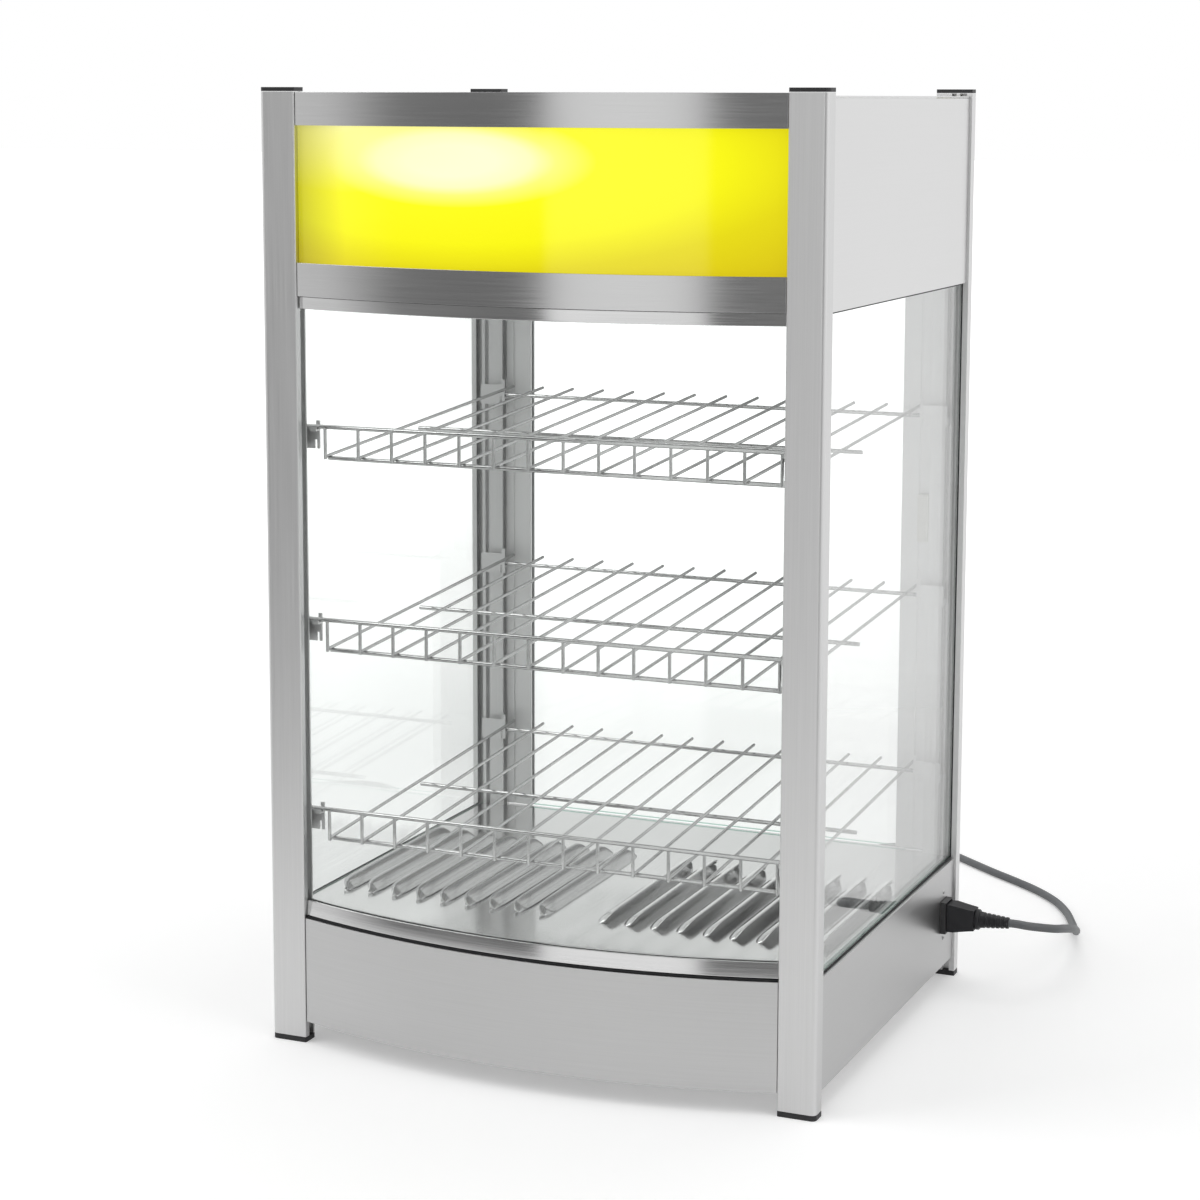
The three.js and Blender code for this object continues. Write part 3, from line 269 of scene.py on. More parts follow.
cameraLook = {
    "place": (0.83113, -2.00288, 0.74094),
    "yaw": 0.40505,
    "pitch": -0.13949,
    "roll": 0.00242,
    "focal": 2726.22,  # in pixels of the picture
    "picture": 1200,
    "middleRow": 480,
    "sensor": 36,
}


def addCamera(look):
    yaw, pitch = look["yaw"], look["pitch"]
    right = Vector((math.cos(yaw), math.sin(yaw), 0))
    ahead = Vector(
        (
            -math.sin(yaw) * math.cos(pitch),
            math.cos(yaw) * math.cos(pitch),
            math.sin(pitch),
        )
    )
    up = right.cross(ahead)
    turn = Matrix((right, up, -ahead)).transposed().to_4x4()
    turn = turn @ Matrix.Rotation(look["roll"], 4, "Z")
    camera = startPiece(bpy.ops.object.camera_add)
    camera.matrix_world = Matrix.Translation(look["place"]) @ turn
    camera.data.sensor_width = look["sensor"]
    camera.data.lens = look["focal"] * look["sensor"] / look["picture"]
    camera.data.shift_y = (look["middleRow"] - look["picture"] / 2) / look["picture"]
    bpy.context.scene.camera = camera


addCamera(cameraLook)
bpy.context.scene.view_settings.view_transform = "Standard"
print("camera placed")


# Node helpers for the finishes


def startMaterial(name):
    material = bpy.data.materials.new(name)
    material.use_nodes = True
    return material, material.node_tree, material.node_tree.nodes["Principled BSDF"]


def addNode(tree, kind, **settings):
    node = tree.nodes.new(kind)
    for key, value in settings.items():
        setattr(node, key, value)
    return node


def setSockets(node, values):
    for name, value in values.items():
        node.inputs[name].default_value = value


# Give a socket another socket's result, a number or a colour
def feedSocket(tree, value, socket):
    if isinstance(value, bpy.types.NodeSocket):
        tree.links.new(value, socket)
    elif isinstance(value, (int, float)):
        socket.default_value = value
    else:
        socket.default_value = (*value, 1)


def addMath(tree, operation, *values):
    node = addNode(tree, "ShaderNodeMath", operation=operation)
    for value, socket in zip(values, node.inputs):
        feedSocket(tree, value, socket)
    return node.outputs[0]


# The three parts of a vector
def splitVector(tree, vector):
    node = addNode(tree, "ShaderNodeSeparateXYZ")
    tree.links.new(vector, node.inputs[0])
    return node.outputs


# Object coordinates, stretched and centred for a pattern
def patternPlace(tree, scale=(1, 1, 1), centre=(0, 0, 0)):
    coordinates = addNode(tree, "ShaderNodeTexCoord")
    mapping = addNode(tree, "ShaderNodeMapping", vector_type="TEXTURE")
    setSockets(mapping, {"Location": centre, "Scale": [1 / s for s in scale]})
    tree.links.new(coordinates.outputs["Object"], mapping.inputs["Vector"])
    return mapping.outputs["Vector"]


def addNoise(tree, place, detail=2, roughness=0.5, scale=1):
    noise = addNode(tree, "ShaderNodeTexNoise")
    setSockets(noise, {"Scale": scale, "Detail": detail, "Roughness": roughness})
    tree.links.new(place, noise.inputs["Vector"])
    return noise.outputs["Fac"]


def addRamp(tree, source, stops):
    ramp = addNode(tree, "ShaderNodeValToRGB")
    elements = ramp.color_ramp.elements
    while len(elements) < len(stops):
        elements.new(0.5)
    for element, (place, colour) in zip(elements, stops):
        element.position = place
        element.color = (*colour, 1)
    tree.links.new(source, ramp.inputs["Fac"])
    return ramp.outputs["Color"]


def addRange(tree, source, low, high, fromLow=0.0, fromHigh=1.0):
    span = addNode(tree, "ShaderNodeMapRange")
    setSockets(span, {"From Min": fromLow, "From Max": fromHigh, "To Min": low, "To Max": high})
    tree.links.new(source, span.inputs["Value"])
    return span.outputs["Result"]


def mixColours(tree, share, first, second, blend="MIX"):
    mix = addNode(tree, "ShaderNodeMix", data_type="RGBA", blend_type=blend)
    for i, value in ((0, share), (6, first), (7, second)):  # a colour mix's own sockets
        feedSocket(tree, value, mix.inputs[i])
    return mix.outputs[2]


def mixShaders(tree, share, first, second, output="Material Output"):
    blend = addNode(tree, "ShaderNodeMixShader")
    for value, socket in zip((share, first.outputs[0], second.outputs[0]), blend.inputs):
        tree.links.new(value, socket)
    tree.links.new(blend.outputs[0], tree.nodes[output].inputs["Surface"])


def addBump(tree, source, shader, strength, distance):
    bump = addNode(tree, "ShaderNodeBump")
    setSockets(bump, {"Strength": strength, "Distance": distance})
    tree.links.new(source, bump.inputs["Height"])
    tree.links.new(bump.outputs["Normal"], shader.inputs["Normal"])


def grey(value):
    return (value, value, value)


patternLook = {
    "ends": (0.3, 0.7),  # where noise counts as low and as high
    "streakDetail": 3,
    "streakRoughness": 0.6,
    "grainDetail": 2,
    "cloudDetail": 1,
    "metalRelief": 0.0002,
    "plasticRelief": 0.0001,
}


# Tone that runs from one grey to another with a noise
def greyRamp(tree, source, dark, light):
    low, high = patternLook["ends"]
    return addRamp(tree, source, [(low, grey(dark)), (high, grey(light))])


def addClouds(tree, scale=(1, 1, 1), size=1):
    return addNoise(tree, patternPlace(tree, scale), patternLook["cloudDetail"], scale=size)


# Roughness that follows a noise, and a fine relief from it
def addSurface(tree, shader, source, look, relief):
    rough = addRange(tree, source, *look["roughness"], *patternLook["ends"])
    tree.links.new(rough, shader.inputs["Roughness"])
    addBump(tree, source, shader, look["bump"], relief)


# A brushed or rolled metal: fine streaks along one axis, with slow clouds in tone
def metalFinish(name, look):
    material, tree, shader = startMaterial(name)
    look = {**commonMetal, **look}
    shader.inputs["Metallic"].default_value = look["metallic"]
    streaks = addNoise(
        tree,
        patternPlace(tree, look["streaks"]),
        patternLook["streakDetail"],
        patternLook["streakRoughness"],
    )
    tone, contrast = look["tone"], look["contrast"]
    fine = greyRamp(tree, streaks, tone - contrast, tone + contrast)
    slow = greyRamp(tree, addClouds(tree, look["clouds"]), 1 - look["cloudContrast"], 1)
    colour = mixColours(tree, 1.0, fine, slow, "MULTIPLY")
    tree.links.new(colour, shader.inputs["Base Color"])
    addSurface(tree, shader, streaks, look, patternLook["metalRelief"])
    return material


def plasticFinish(name, look):
    material, tree, shader = startMaterial(name)
    grain = addNoise(tree, patternPlace(tree), patternLook["grainDetail"], scale=look["grain"])
    clouds = addClouds(tree, size=look["clouds"])
    colour = mixColours(tree, clouds, look["dark"], look["light"])
    tree.links.new(colour, shader.inputs["Base Color"])
    shader.inputs["Specular IOR Level"].default_value = look["shine"]
    addSurface(tree, shader, grain, look, patternLook["plasticRelief"])
    return material


# What most metals share, and what each has of its own
commonMetal = {"metallic": 1, "contrast": 0.02, "cloudContrast": 0.03, "bump": 0.03}
metalLooks = {
    "post": {"tone": 0.72, "roughness": (0.36, 0.42), "streaks": (900, 900, 9), "clouds": (9, 9, 2.5)},
    "roof": {
        "tone": 0.78, "contrast": 0.015, "cloudContrast": 0.02, "roughness": (0.34, 0.4),
        "streaks": (9, 900, 60), "clouds": (2, 3, 6),
    },
    # The rear posts' metal, lighter and less metallic than the same metal on the front posts: painted
    # light for the inside of the cabinet
    "rear_post_painted_light": {
        "tone": 0.8, "roughness": (0.42, 0.48),
        "streaks": (900, 900, 9), "clouds": (9, 9, 2.5), "metallic": 0.8,
    },
    "rail": {
        "tone": 0.62, "roughness": (0.16, 0.21), "bump": 0.02,
        "streaks": (9, 60, 900), "clouds": (3, 3, 14),
    },
    "sheet": {
        "tone": 0.78, "contrast": 0.01, "cloudContrast": 0.02, "roughness": (0.34, 0.4), "bump": 0.02,
        "streaks": (60, 9, 900), "clouds": (6, 3, 6),
    },
    "base": {
        "tone": 0.6, "contrast": 0.015, "cloudContrast": 0.05, "roughness": (0.3, 0.36),
        "streaks": (9, 9, 900), "clouds": (3, 3, 9),
    },
    "trim": {
        "tone": 0.72, "contrast": 0.03, "cloudContrast": 0.1, "roughness": (0.08, 0.16),
        "streaks": (9, 60, 900), "clouds": (7, 7, 30),
    },
    "floor": {
        "tone": 0.74, "cloudContrast": 0.06, "roughness": (0.1, 0.17),
        "streaks": (500, 7, 500), "clouds": (8, 6, 8),
    },
    # The left hoods: the floor's own steel made darker, a painted dark reflection
    "hood": {
        "tone": 0.5, "cloudContrast": 0.08, "roughness": (0.14, 0.2),
        "streaks": (500, 7, 500), "clouds": (8, 6, 8),
    },
    "wire": {
        "tone": 0.58, "contrast": 0.05, "cloudContrast": 0.12, "roughness": (0.12, 0.2),
        "streaks": (120, 120, 120), "clouds": (20, 20, 20),
    },
    # The door stiles' metal, made lighter and less metallic than it is: painted light for the inside of
    # the cabinet
    "door_frame": {
        "tone": 0.86, "roughness": (0.45, 0.5),
        "streaks": (900, 900, 9), "clouds": (9, 9, 2.5), "metallic": 0.7,
    },
    "hinge": {
        "tone": 0.58, "cloudContrast": 0.05, "roughness": (0.26, 0.34),
        "streaks": (300, 300, 300), "clouds": (30, 30, 30),
    },
    "element": {
        "tone": 0.2, "contrast": 0.05, "cloudContrast": 0.3, "roughness": (0.45, 0.6), "bump": 0.08,
        "streaks": (150, 150, 150), "clouds": (20, 20, 20),
    },
}

plasticLooks = {
    "cap": {
        "dark": (0.012, 0.012, 0.013), "light": (0.024, 0.024, 0.026), "roughness": (0.4, 0.55),
        "grain": 900, "clouds": 60, "shine": 0.5, "bump": 0.08,
    },
    "black_plastic": {
        "dark": (0.012, 0.012, 0.013), "light": (0.026, 0.026, 0.028), "roughness": (0.32, 0.46),
        "grain": 1200, "clouds": 50, "shine": 0.5, "bump": 0.08,
    },
    "moulding": {
        "dark": (0.012, 0.012, 0.014), "light": (0.024, 0.024, 0.027), "roughness": (0.28, 0.42),
        "grain": 1200, "clouds": 60, "shine": 0.3, "bump": 0.06,
    },
    "seal": {
        "dark": (0.01, 0.01, 0.011), "light": (0.02, 0.02, 0.022), "roughness": (0.55, 0.7),
        "grain": 700, "clouds": 40, "shine": 0.35, "bump": 0.1,
    },
    "white_plastic": {
        "dark": (0.7, 0.69, 0.65), "light": (0.78, 0.77, 0.73), "roughness": (0.35, 0.48),
        "grain": 900, "clouds": 40, "shine": 0.5, "bump": 0.05,
    },
    "rocker_heat": {
        "dark": (0.012, 0.012, 0.013), "light": (0.022, 0.022, 0.024), "roughness": (0.2, 0.3),
        "grain": 900, "clouds": 60, "shine": 0.55, "bump": 0.04,
    },
    "rocker_light": {
        "dark": (0.68, 0.66, 0.6), "light": (0.75, 0.73, 0.67), "roughness": (0.2, 0.3),
        "grain": 900, "clouds": 60, "shine": 0.55, "bump": 0.04,
    },
    "cord": {
        "dark": (0.1, 0.105, 0.11), "light": (0.15, 0.156, 0.162), "roughness": (0.4, 0.5),
        "grain": 900, "clouds": 25, "shine": 0.45, "bump": 0.06,
    },
}

finishes = {name: metalFinish(name, look) for name, look in metalLooks.items()}
finishes.update({name: plasticFinish(name, look) for name, look in plasticLooks.items()})


# Clear glass: light passes straight through, and more is mirrored the flatter it is seen
glassLook = {
    "tint": (0.985, 0.992, 0.988),
    "edgeTint": (0.3, 0.52, 0.44),  # of the cut edges at the top and the bottom
    "edgeSlope": (0.3, 0.8),  # how upright a face's normal is where the tint turns into that one
    "slant": 0.5,  # evens out how flat a pane is seen
    "face": 0.035,
    "rim": 0.9,
    "roughness": 0.02,
    "clearing": {"glass": 5, "side_glass": 3.4},  # how fast a pane clears when it is seen less flat
}


def glassFinish(name, look):
    material, tree, shader = startMaterial(name)
    setSockets(
        shader, {"Base Color": (1, 1, 1, 1), "Metallic": 1, "Roughness": look["roughness"]}
    )
    clear = addNode(tree, "ShaderNodeBsdfTransparent")
    coordinates = addNode(tree, "ShaderNodeTexCoord")
    facing = splitVector(tree, coordinates.outputs["Normal"])
    upright = addMath(tree, "ABSOLUTE", facing["Z"])
    edge = addRange(tree, upright, 0, 1, *look["edgeSlope"])
    tree.links.new(mixColours(tree, edge, look["tint"], look["edgeTint"]), clear.inputs["Color"])
    slant = addNode(tree, "ShaderNodeLayerWeight")
    slant.inputs["Blend"].default_value = look["slant"]
    steep = addMath(tree, "POWER", slant.outputs["Facing"], look["clearing"][name])
    mixShaders(tree, addRange(tree, steep, look["face"], look["rim"]), clear, shader)
    return material


for name in glassLook["clearing"]:
    finishes[name] = glassFinish(name, glassLook)

# The lit face: yellow acrylic with the lamp's long hot patch behind it
lightLook = {
    "body": (0.34, 0.29, 0.004),
    "glow": [
        (0.0, (0.44, 0.31, 0.0)),
        (0.3, (0.56, 0.5, 0.0)),
        (0.47, (0.72, 0.73, 0.0)),
        (0.7, (0.77, 0.78, 0.004)),
        (0.78, (0.8, 0.8, 0.2)),
        (0.83, (0.85, 0.85, 0.55)),
        (0.9, (0.85, 0.85, 0.68)),
    ],
    "hotSpot": (-0.055, -0.2, 0.695),
    "spread": (2.6, 1.0, 8.8),
    "dimEdge": (0.5, 1.0, -0.194, -0.15),  # the dimmer left edge: shares, and where from and to
    "paleGlow": (0.8, 0.8, 0.5),  # a paler patch of painted glow in the upper left corner
    "paleGlowSpot": (-0.15, -0.19, 0.72),
    "paleGlowSpread": (8.0, 1.0, 20.0),
    "paleGlowShare": 0.7,
    "clouds": (6, 6, 4),
    "cloudShare": 1.15,
    "shine": 0.5,
    "roughness": 0.06,
}


# 1 in the middle of a stretched ball and 0 from its edge on
def addSpot(tree, spread, centre):
    spot = addNode(tree, "ShaderNodeTexGradient", gradient_type="SPHERICAL")
    tree.links.new(patternPlace(tree, spread, centre), spot.inputs["Vector"])
    return spot.outputs["Fac"]


def lightFinish(name, look):
    material, tree, shader = startMaterial(name)
    setSockets(
        shader,
        {
            "Roughness": look["roughness"],
            "Specular IOR Level": look["shine"],
            "Emission Strength": 1,
        },
    )
    glow = addRamp(tree, addSpot(tree, look["spread"], look["hotSpot"]), look["glow"])
    # A paler patch of painted glow in the upper left corner
    pale = addRange(tree, addSpot(tree, look["paleGlowSpread"], look["paleGlowSpot"]), 0, look["paleGlowShare"])
    glow = mixColours(tree, pale, glow, look["paleGlow"])
    across = splitVector(tree, patternPlace(tree))
    dim = addRange(tree, across["X"], *look["dimEdge"])
    shade = addNode(tree, "ShaderNodeCombineColor")
    for i in range(3):
        tree.links.new(dim, shade.inputs[i])
    glow = mixColours(tree, 1.0, glow, shade.outputs[0], "MULTIPLY")
    tree.links.new(glow, shader.inputs["Emission Color"])
    lighter = [c * look["cloudShare"] for c in look["body"]]
    body = mixColours(tree, addClouds(tree, look["clouds"]), look["body"], lighter)
    tree.links.new(body, shader.inputs["Base Color"])
    return material


finishes["light_panel"] = lightFinish("light_panel", lightLook)

lampLook = {
    "colour": (1.0, 0.95, 0.82),
    "shade": (0.9, 0.88, 0.8),
    "clouds": 30,
    "strength": 3.0,
    "roughness": 0.3,
}


def lampFinish(name, look):
    material, tree, shader = startMaterial(name)
    clouds = addClouds(tree, size=look["clouds"])
    colour = mixColours(tree, clouds, look["colour"], look["shade"])
    tree.links.new(colour, shader.inputs["Base Color"])
    setSockets(
        shader,
        {
            "Emission Color": (*look["colour"], 1),
            "Emission Strength": look["strength"],
            "Roughness": look["roughness"],
        },
    )
    return material


finishes["lamp"] = lampFinish("lamp", lampLook)
print("finishes made:", len(finishes))


# The supply cord: one run from the connector to the plug, with its spare length in a coil

cordLook = {
    "radius": 0.0035,
    "roundSteps": 4,
    "route": [
        (0.2816, 0.1466, 0.0616), (0.2886, 0.1466, 0.0616), (0.296, 0.1485, 0.0605),
        (0.307, 0.1565, 0.058), (0.315, 0.169, 0.0545), (0.3185, 0.187, 0.05),
        (0.319, 0.21, 0.0435), (0.316, 0.235, 0.0355), (0.311, 0.264, 0.0255),
        (0.304, 0.294, 0.015), (0.296, 0.324, 0.0075), (0.286, 0.354, 0.0044),
        (0.274, 0.384, 0.0036), (0.257, 0.413, 0.0036), (0.233, 0.44, 0.0036),
        (0.206, 0.463, 0.0036), (0.179, 0.484, 0.0036), (0.155, 0.504, 0.0036),
        (0.131, 0.524, 0.0036), (0.107, 0.539, 0.0036), (0.082, 0.542, 0.0036),
        (0.06, 0.531, 0.0036), (0.045, 0.511, 0.0036), (0.033, 0.485, 0.0036),
        (0.021, 0.455, 0.0036), (0.01, 0.42, 0.0036), (0.002, 0.385, 0.0036),
        (-0.004, 0.35, 0.0036), (-0.0084, 0.32, 0.0036), (-0.01, 0.304, 0.0036),
        (-0.01, 0.2973, 0.0036),
    ],
    "pointsPerSpan": 5,
    "coilRadius": 0.045,
    "coilPitch": 0.0077,
    "coilTurns": 4.25,
    "layerTurns": 2,
    "climbTurns": 0.5,
    "stepsPerTurn": 36,
    "tail": 0.062,
    "tailSteps": 10,
    "straight": 0.007,
    "plugAxis": 0.0186,
    "seat": 0.0003,
}


# A smooth line through the points, close to even in its bends
def smoothRoute(points, perSpan):
    ends = [2 * points[0] - points[1], *points, 2 * points[-1] - points[-2]]
    line = []
    for i in range(1, len(ends) - 2):
        p = ends[i - 1 : i + 3]
        knots = [0.0]
        for a, b in zip(p, p[1:]):
            knots.append(knots[-1] + math.sqrt((b - a).length))
        for k in range(perSpan):
            share = k / perSpan
            t = knots[1] + (knots[2] - knots[1]) * share
            layer = p
            for depth in (1, 2):
                layer = [
                    layer[j].lerp(layer[j + 1], (t - knots[j]) / (knots[j + depth] - knots[j]))
                    for j in range(len(layer) - 1)
                ]
            line.append(layer[0].lerp(layer[1], share))
    line.append(points[-1].copy())
    return line


def easeStep(t, low, high):
    share = min(max((t - low) / (high - low), 0), 1)
    return share * share * (3 - 2 * share)


def softStep(share):
    return share**3 * (share * (6 * share - 15) + 10)


def coilLine(start, look):
    centre = start - Vector((look["coilRadius"], look["straight"], 0))
    middleTurn = look["layerTurns"] + look["climbTurns"] / 2
    line = []
    count = round(look["coilTurns"] * look["stepsPerTurn"])
    for i in range(count + 1):
        turn = i * look["coilTurns"] / count
        radius = look["coilRadius"] - look["coilPitch"] * (middleTurn - abs(turn - middleTurn))
        climb = easeStep(turn, look["layerTurns"], look["layerTurns"] + look["climbTurns"])
        angle = -2 * math.pi * turn
        away = Vector((radius * math.cos(angle), radius * math.sin(angle), 0))
        line.append(centre + away + Vector((0, 0, look["coilPitch"] * climb)))
    last = line[-1]
    for i in range(1, look["tailSteps"] + 1):
        share = i / look["tailSteps"]
        rise = (look["plugAxis"] - last.z) * softStep(share)
        line.append(last + Vector((-look["tail"] * share, 0, rise)))
    line.append(line[-1] + Vector((-look["straight"], 0, 0)))
    return line


def addCord(look):
    route = [Vector(p) for p in look["route"]]
    line = smoothRoute(route, look["pointsPerSpan"])
    start = route[-1] - Vector((0, look["seat"], 0))
    line += coilLine(start, look)
    line = [p + sourceShift for p in line]
    cord = startPiece(bpy.ops.curve.primitive_nurbs_path_add)
    cord.name = "supplyCord"
    data = cord.data
    data.splines.clear()
    spline = data.splines.new("POLY")
    spline.points.add(len(line) - 1)
    for point, place in zip(spline.points, line):
        point.co = (*place, 1)
    data.dimensions = "3D"
    data.bevel_depth = look["radius"]
    data.bevel_resolution = look["roundSteps"]
    data.use_fill_caps = True
    length = sum((b - a).length for a, b in zip(line, line[1:]))
    print("cord length in metres:", round(length, 4), "points:", len(line))
    return cord, line, length


cord, cordLine, cordLength = addCord(cordLook)
mountPiece(cord, root, "cord", ("cord", "cord_coil"))


# Refined copies: a node's own shape with its edges broken and its curves shaded smooth


def refineNode(slot, node, edge, body=root):
    piece = solidCopy(node, node + "_finished")
    bpy.ops.mesh.tris_convert_to_quads(
        face_threshold=math.radians(closeness["flat"]), shape_threshold=math.pi
    )
    leaveEdit()
    if edge:
        roundEdges(piece, edge)
    smoothPiece(piece)
    return mountPiece(piece, body, slot, (node,), ownFinish.get(node))


# By finish slot: a node, the width of its broken edges and, where it moves, its body
corners = ("front_left", "front_right", "rear_left", "rear_right")
refinedFixed = {
    "post": [("post_" + c, 0.0003) for c in corners],
    "cap": [(kind + c, 0.0006) for c in corners for kind in ("foot_cap_", "top_cap_")],
    "rail": [("header_top_rail", 0.0005), ("header_lower_rail", 0.0005)],
    "light_panel": [("light_panel", 0.0002)],
    "sheet": [
        ("roof_panel", 0.0002), ("header_floor", 0.0002), ("header_back", 0.0004),
        ("header_side_left", 0.0004), ("header_side_right", 0.0004), ("bottom_cover", 0.0002),
    ],
    "base": [
        ("base_front", 0.0005), ("base_side_left", 0.0004), ("base_side_right", 0.0004),
        ("base_back", 0.0004),
    ],
    "trim": [("top_glass_trim", 0.0008), ("bottom_glass_trim", 0.0008)],
    "glass": [("front_glass", 0.0003), ("side_glass_left", 0.0003), ("side_glass_right", 0.0003)],
    "seal": [("sill_seal", 0.0003), ("side_gasket_left", 0.0002), ("side_gasket_right", 0.0002)],
    "lamp": [("lamp_tube", 0.0002)],
    "white_plastic": [
        ("lamp_holder_left", 0.0004), ("lamp_holder_right", 0.0004), ("thermostat_body", 0.0006),
        ("door_catch", 0.0006),
    ],
    "element": [("heating_element", 0)],
    "hinge": [("hinge_lower", 0.0003), ("hinge_upper", 0.0003)],
    "black_plastic": [
        ("heat_switch_housing", 0.0005), ("light_switch_housing", 0.0005), ("power_inlet", 0.0004),
    ],
}
refinedMoving = {
    "glass": [("door_glass", 0.0003, "rear_door")],
    "door_frame": [
        ("door_stile_hinge", 0.0004, "rear_door"), ("door_stile_latch", 0.0004, "rear_door"),
    ],
    "black_plastic": [("thermostat_knob", 0.0006, "thermostat_knob")],
    "rocker_heat": [("heat_switch", 0.0006, "heat_rocker")],
    "rocker_light": [("light_switch", 0.0006, "light_rocker")],
}
# Nodes whose finish is another one than their slot's; the rear posts wear the posts' metal made lighter,
# as painted light
ownFinish = {
    "side_glass_left": "side_glass", "side_glass_right": "side_glass",
    "post_rear_left": "rear_post_painted_light", "post_rear_right": "rear_post_painted_light",
    "roof_panel": "roof", "header_floor": "roof", "bottom_cover": "roof",
}
made = {
    row[0]: refineNode(slot, *row)
    for refined in (refinedFixed, refinedMoving)
    for slot, rows in refined.items()
    for row in rows
}
print("refined nodes:", len(made))


# The bottom glass trim's front leans back to the glass, and the trim sits low on a thin seal
trimLook = {
    "bowCentre": (0, 0.42145, 0),
    "radius": 0.63895,
    "within": 0.0015,
    "lean": 0.0014,
    "mouth": 0.1134,
    "foot": 0.1055,
    "sealTop": 0.103,
    "lower": 0.001,
}


def leanTrim(look):
    centre = Vector(look["bowCentre"]) + sourceShift
    share = 1 - look["lean"] / look["radius"]
    outer = look["radius"] - look["within"]
    trim = made["bottom_glass_trim"]
    seal = made["sill_seal"]
    for piece, wanted in (
        (trim, lambda v: v.z < look["foot"]),
        (seal, lambda v: v.z > look["sealTop"]),
    ):
        editPiece(piece, "VERT")
        bpy.ops.mesh.customdata_custom_splitnormals_clear()
        pickVertices(piece, wanted)
        bpy.ops.transform.translate(value=(0, 0, -look["lower"]))
        leaveEdit()
    editPiece(trim, "VERT")
    pickVertices(trim, lambda v: v.z > look["mouth"] and (v.xy - centre.xy).length > outer)
    bpy.ops.transform.resize(value=(share, share, 1), center_override=centre)
    leaveEdit()
    smoothPiece(trim)
    smoothPiece(seal)


leanTrim(trimLook)

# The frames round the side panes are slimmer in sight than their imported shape
gasketLook = {"wider": (1.014, 1.01), "middle": (0.00135, 0.34615)}


def slimGaskets(look):
    middle = Vector((0, *look["middle"]))
    for side in ("left", "right"):
        piece = made["side_gasket_" + side]
        reaches = [abs(v.co.y - middle.y) for v in piece.data.vertices]
        inner = (min(reaches) + max(reaches)) / 2
        editPiece(piece, "VERT")
        pickVertices(piece, lambda v: abs(v.y - middle.y) < inner)
        bpy.ops.transform.resize(value=(1, *look["wider"]), center_override=middle)
        leaveEdit()


slimGaskets(gasketLook)


# Wire shelves: fourteen long wires bent down from the front rim, on four cross wires

shelfLook = {
    "levels": {"bottom": 0.186, "middle": 0.3374, "top": 0.4888},
    "lip": 0.028,
    "rearDrop": 0.009,
    "carrier": 0.17,
    "toRight": 0.002,
    "wires": 14,
    "pitch": 0.0287,
    "wireRadius": 0.0013,
    "rimRadius": 0.0017,
    "across": 0.0024,
    "bend": 0.0025,
    "bendSteps": 5,
    "tail": 0.0035,
    "sides": 12,
    "carrierHalf": 0.213,
    "frontCross": 0.008,
    "frontOver": 0.0015,
    "middleOver": 0.006,
    "endRound": 0.0004,
    "endAngle": 60,
    "smoothWithin": 50,
}


def longWire(look):
    x = look["toRight"] - (look["wires"] - 1) * look["pitch"] / 2
    start = Vector((x, -look["carrier"], 0))
    slope = math.atan2(look["lip"] - look["rearDrop"] + look["across"], 2 * look["carrier"])
    bendAngle = math.pi / 2 + slope
    run = look["bend"] * math.tan(bendAngle / 2)
    wire = startPiece(
        bpy.ops.mesh.primitive_circle_add,
        vertices=look["sides"],
        radius=look["wireRadius"],
        fill_type="NGON",
        location=start,
    )
    settlePlace(wire)
    editPiece(wire)
    selectAll()
    drop = look["lip"] - run
    bpy.ops.mesh.extrude_region_move(TRANSFORM_OT_translate={"value": (0, 0, -drop)})
    centre = start + Vector((0, look["bend"], -drop))
    bpy.ops.mesh.spin(
        steps=look["bendSteps"], angle=bendAngle, center=centre, axis=(1, 0, 0)
    )
    reach = (2 * look["carrier"] + look["tail"]) / math.cos(slope) - run
    rearwards = (0, reach * math.cos(slope), reach * math.sin(slope))
    bpy.ops.mesh.extrude_region_move(TRANSFORM_OT_translate={"value": rearwards})
    leaveEdit()
    turnOutwards(wire)
    return wire


def crossWire(look, y, z, half):
    wire = startPiece(
        bpy.ops.mesh.primitive_cylinder_add,
        vertices=look["sides"],
        radius=look["rimRadius"],
        depth=2 * half,
        location=(look["toRight"], y, z),
        rotation=(0, math.pi / 2, 0),
    )
    settlePlace(wire)
    return wire


def addShelves(look):
    wires = longWire(look)
    applyModifier(
        wires,
        "ARRAY",
        count=look["wires"],
        use_relative_offset=False,
        use_constant_offset=True,
        constant_offset_displace=(look["pitch"], 0, 0),
    )
    carrier, lip, drop, across = (look[k] for k in ("carrier", "lip", "rearDrop", "across"))
    rise = (lip - drop + across) / (2 * carrier)
    outer = (look["wires"] - 1) * look["pitch"] / 2
    carrierHalf = look["carrierHalf"] - look["toRight"]
    crossY = look["frontCross"] - carrier
    bars = [
        crossWire(look, -carrier, 0, carrierHalf),
        crossWire(look, carrier, -drop, carrierHalf),
        crossWire(look, crossY, -lip + rise * look["frontCross"] + across, outer + look["frontOver"]),
        crossWire(look, 0, -lip + rise * carrier - across, outer + look["middleOver"]),
    ]
    shelf = joinPieces("shelfWires", [wires, *bars])
    roundEdges(shelf, look["endRound"], degrees=look["endAngle"])
    smoothPiece(shelf, look["smoothWithin"], weighted=False)
    for name, level in look["levels"].items():
        copy = ownCopy(shelf, "shelf_" + name + "_wires")
        movePiece(copy, sourceShift + Vector((0, 0, level)))
        mountPiece(copy, name + "_shelf", "wire", ("shelf_" + name,))
    bpy.data.objects.remove(shelf)


addShelves(shelfLook)
print("shelves made")


# The pressed floor: the plate as packed, with smooth hoods in place of the plain ones

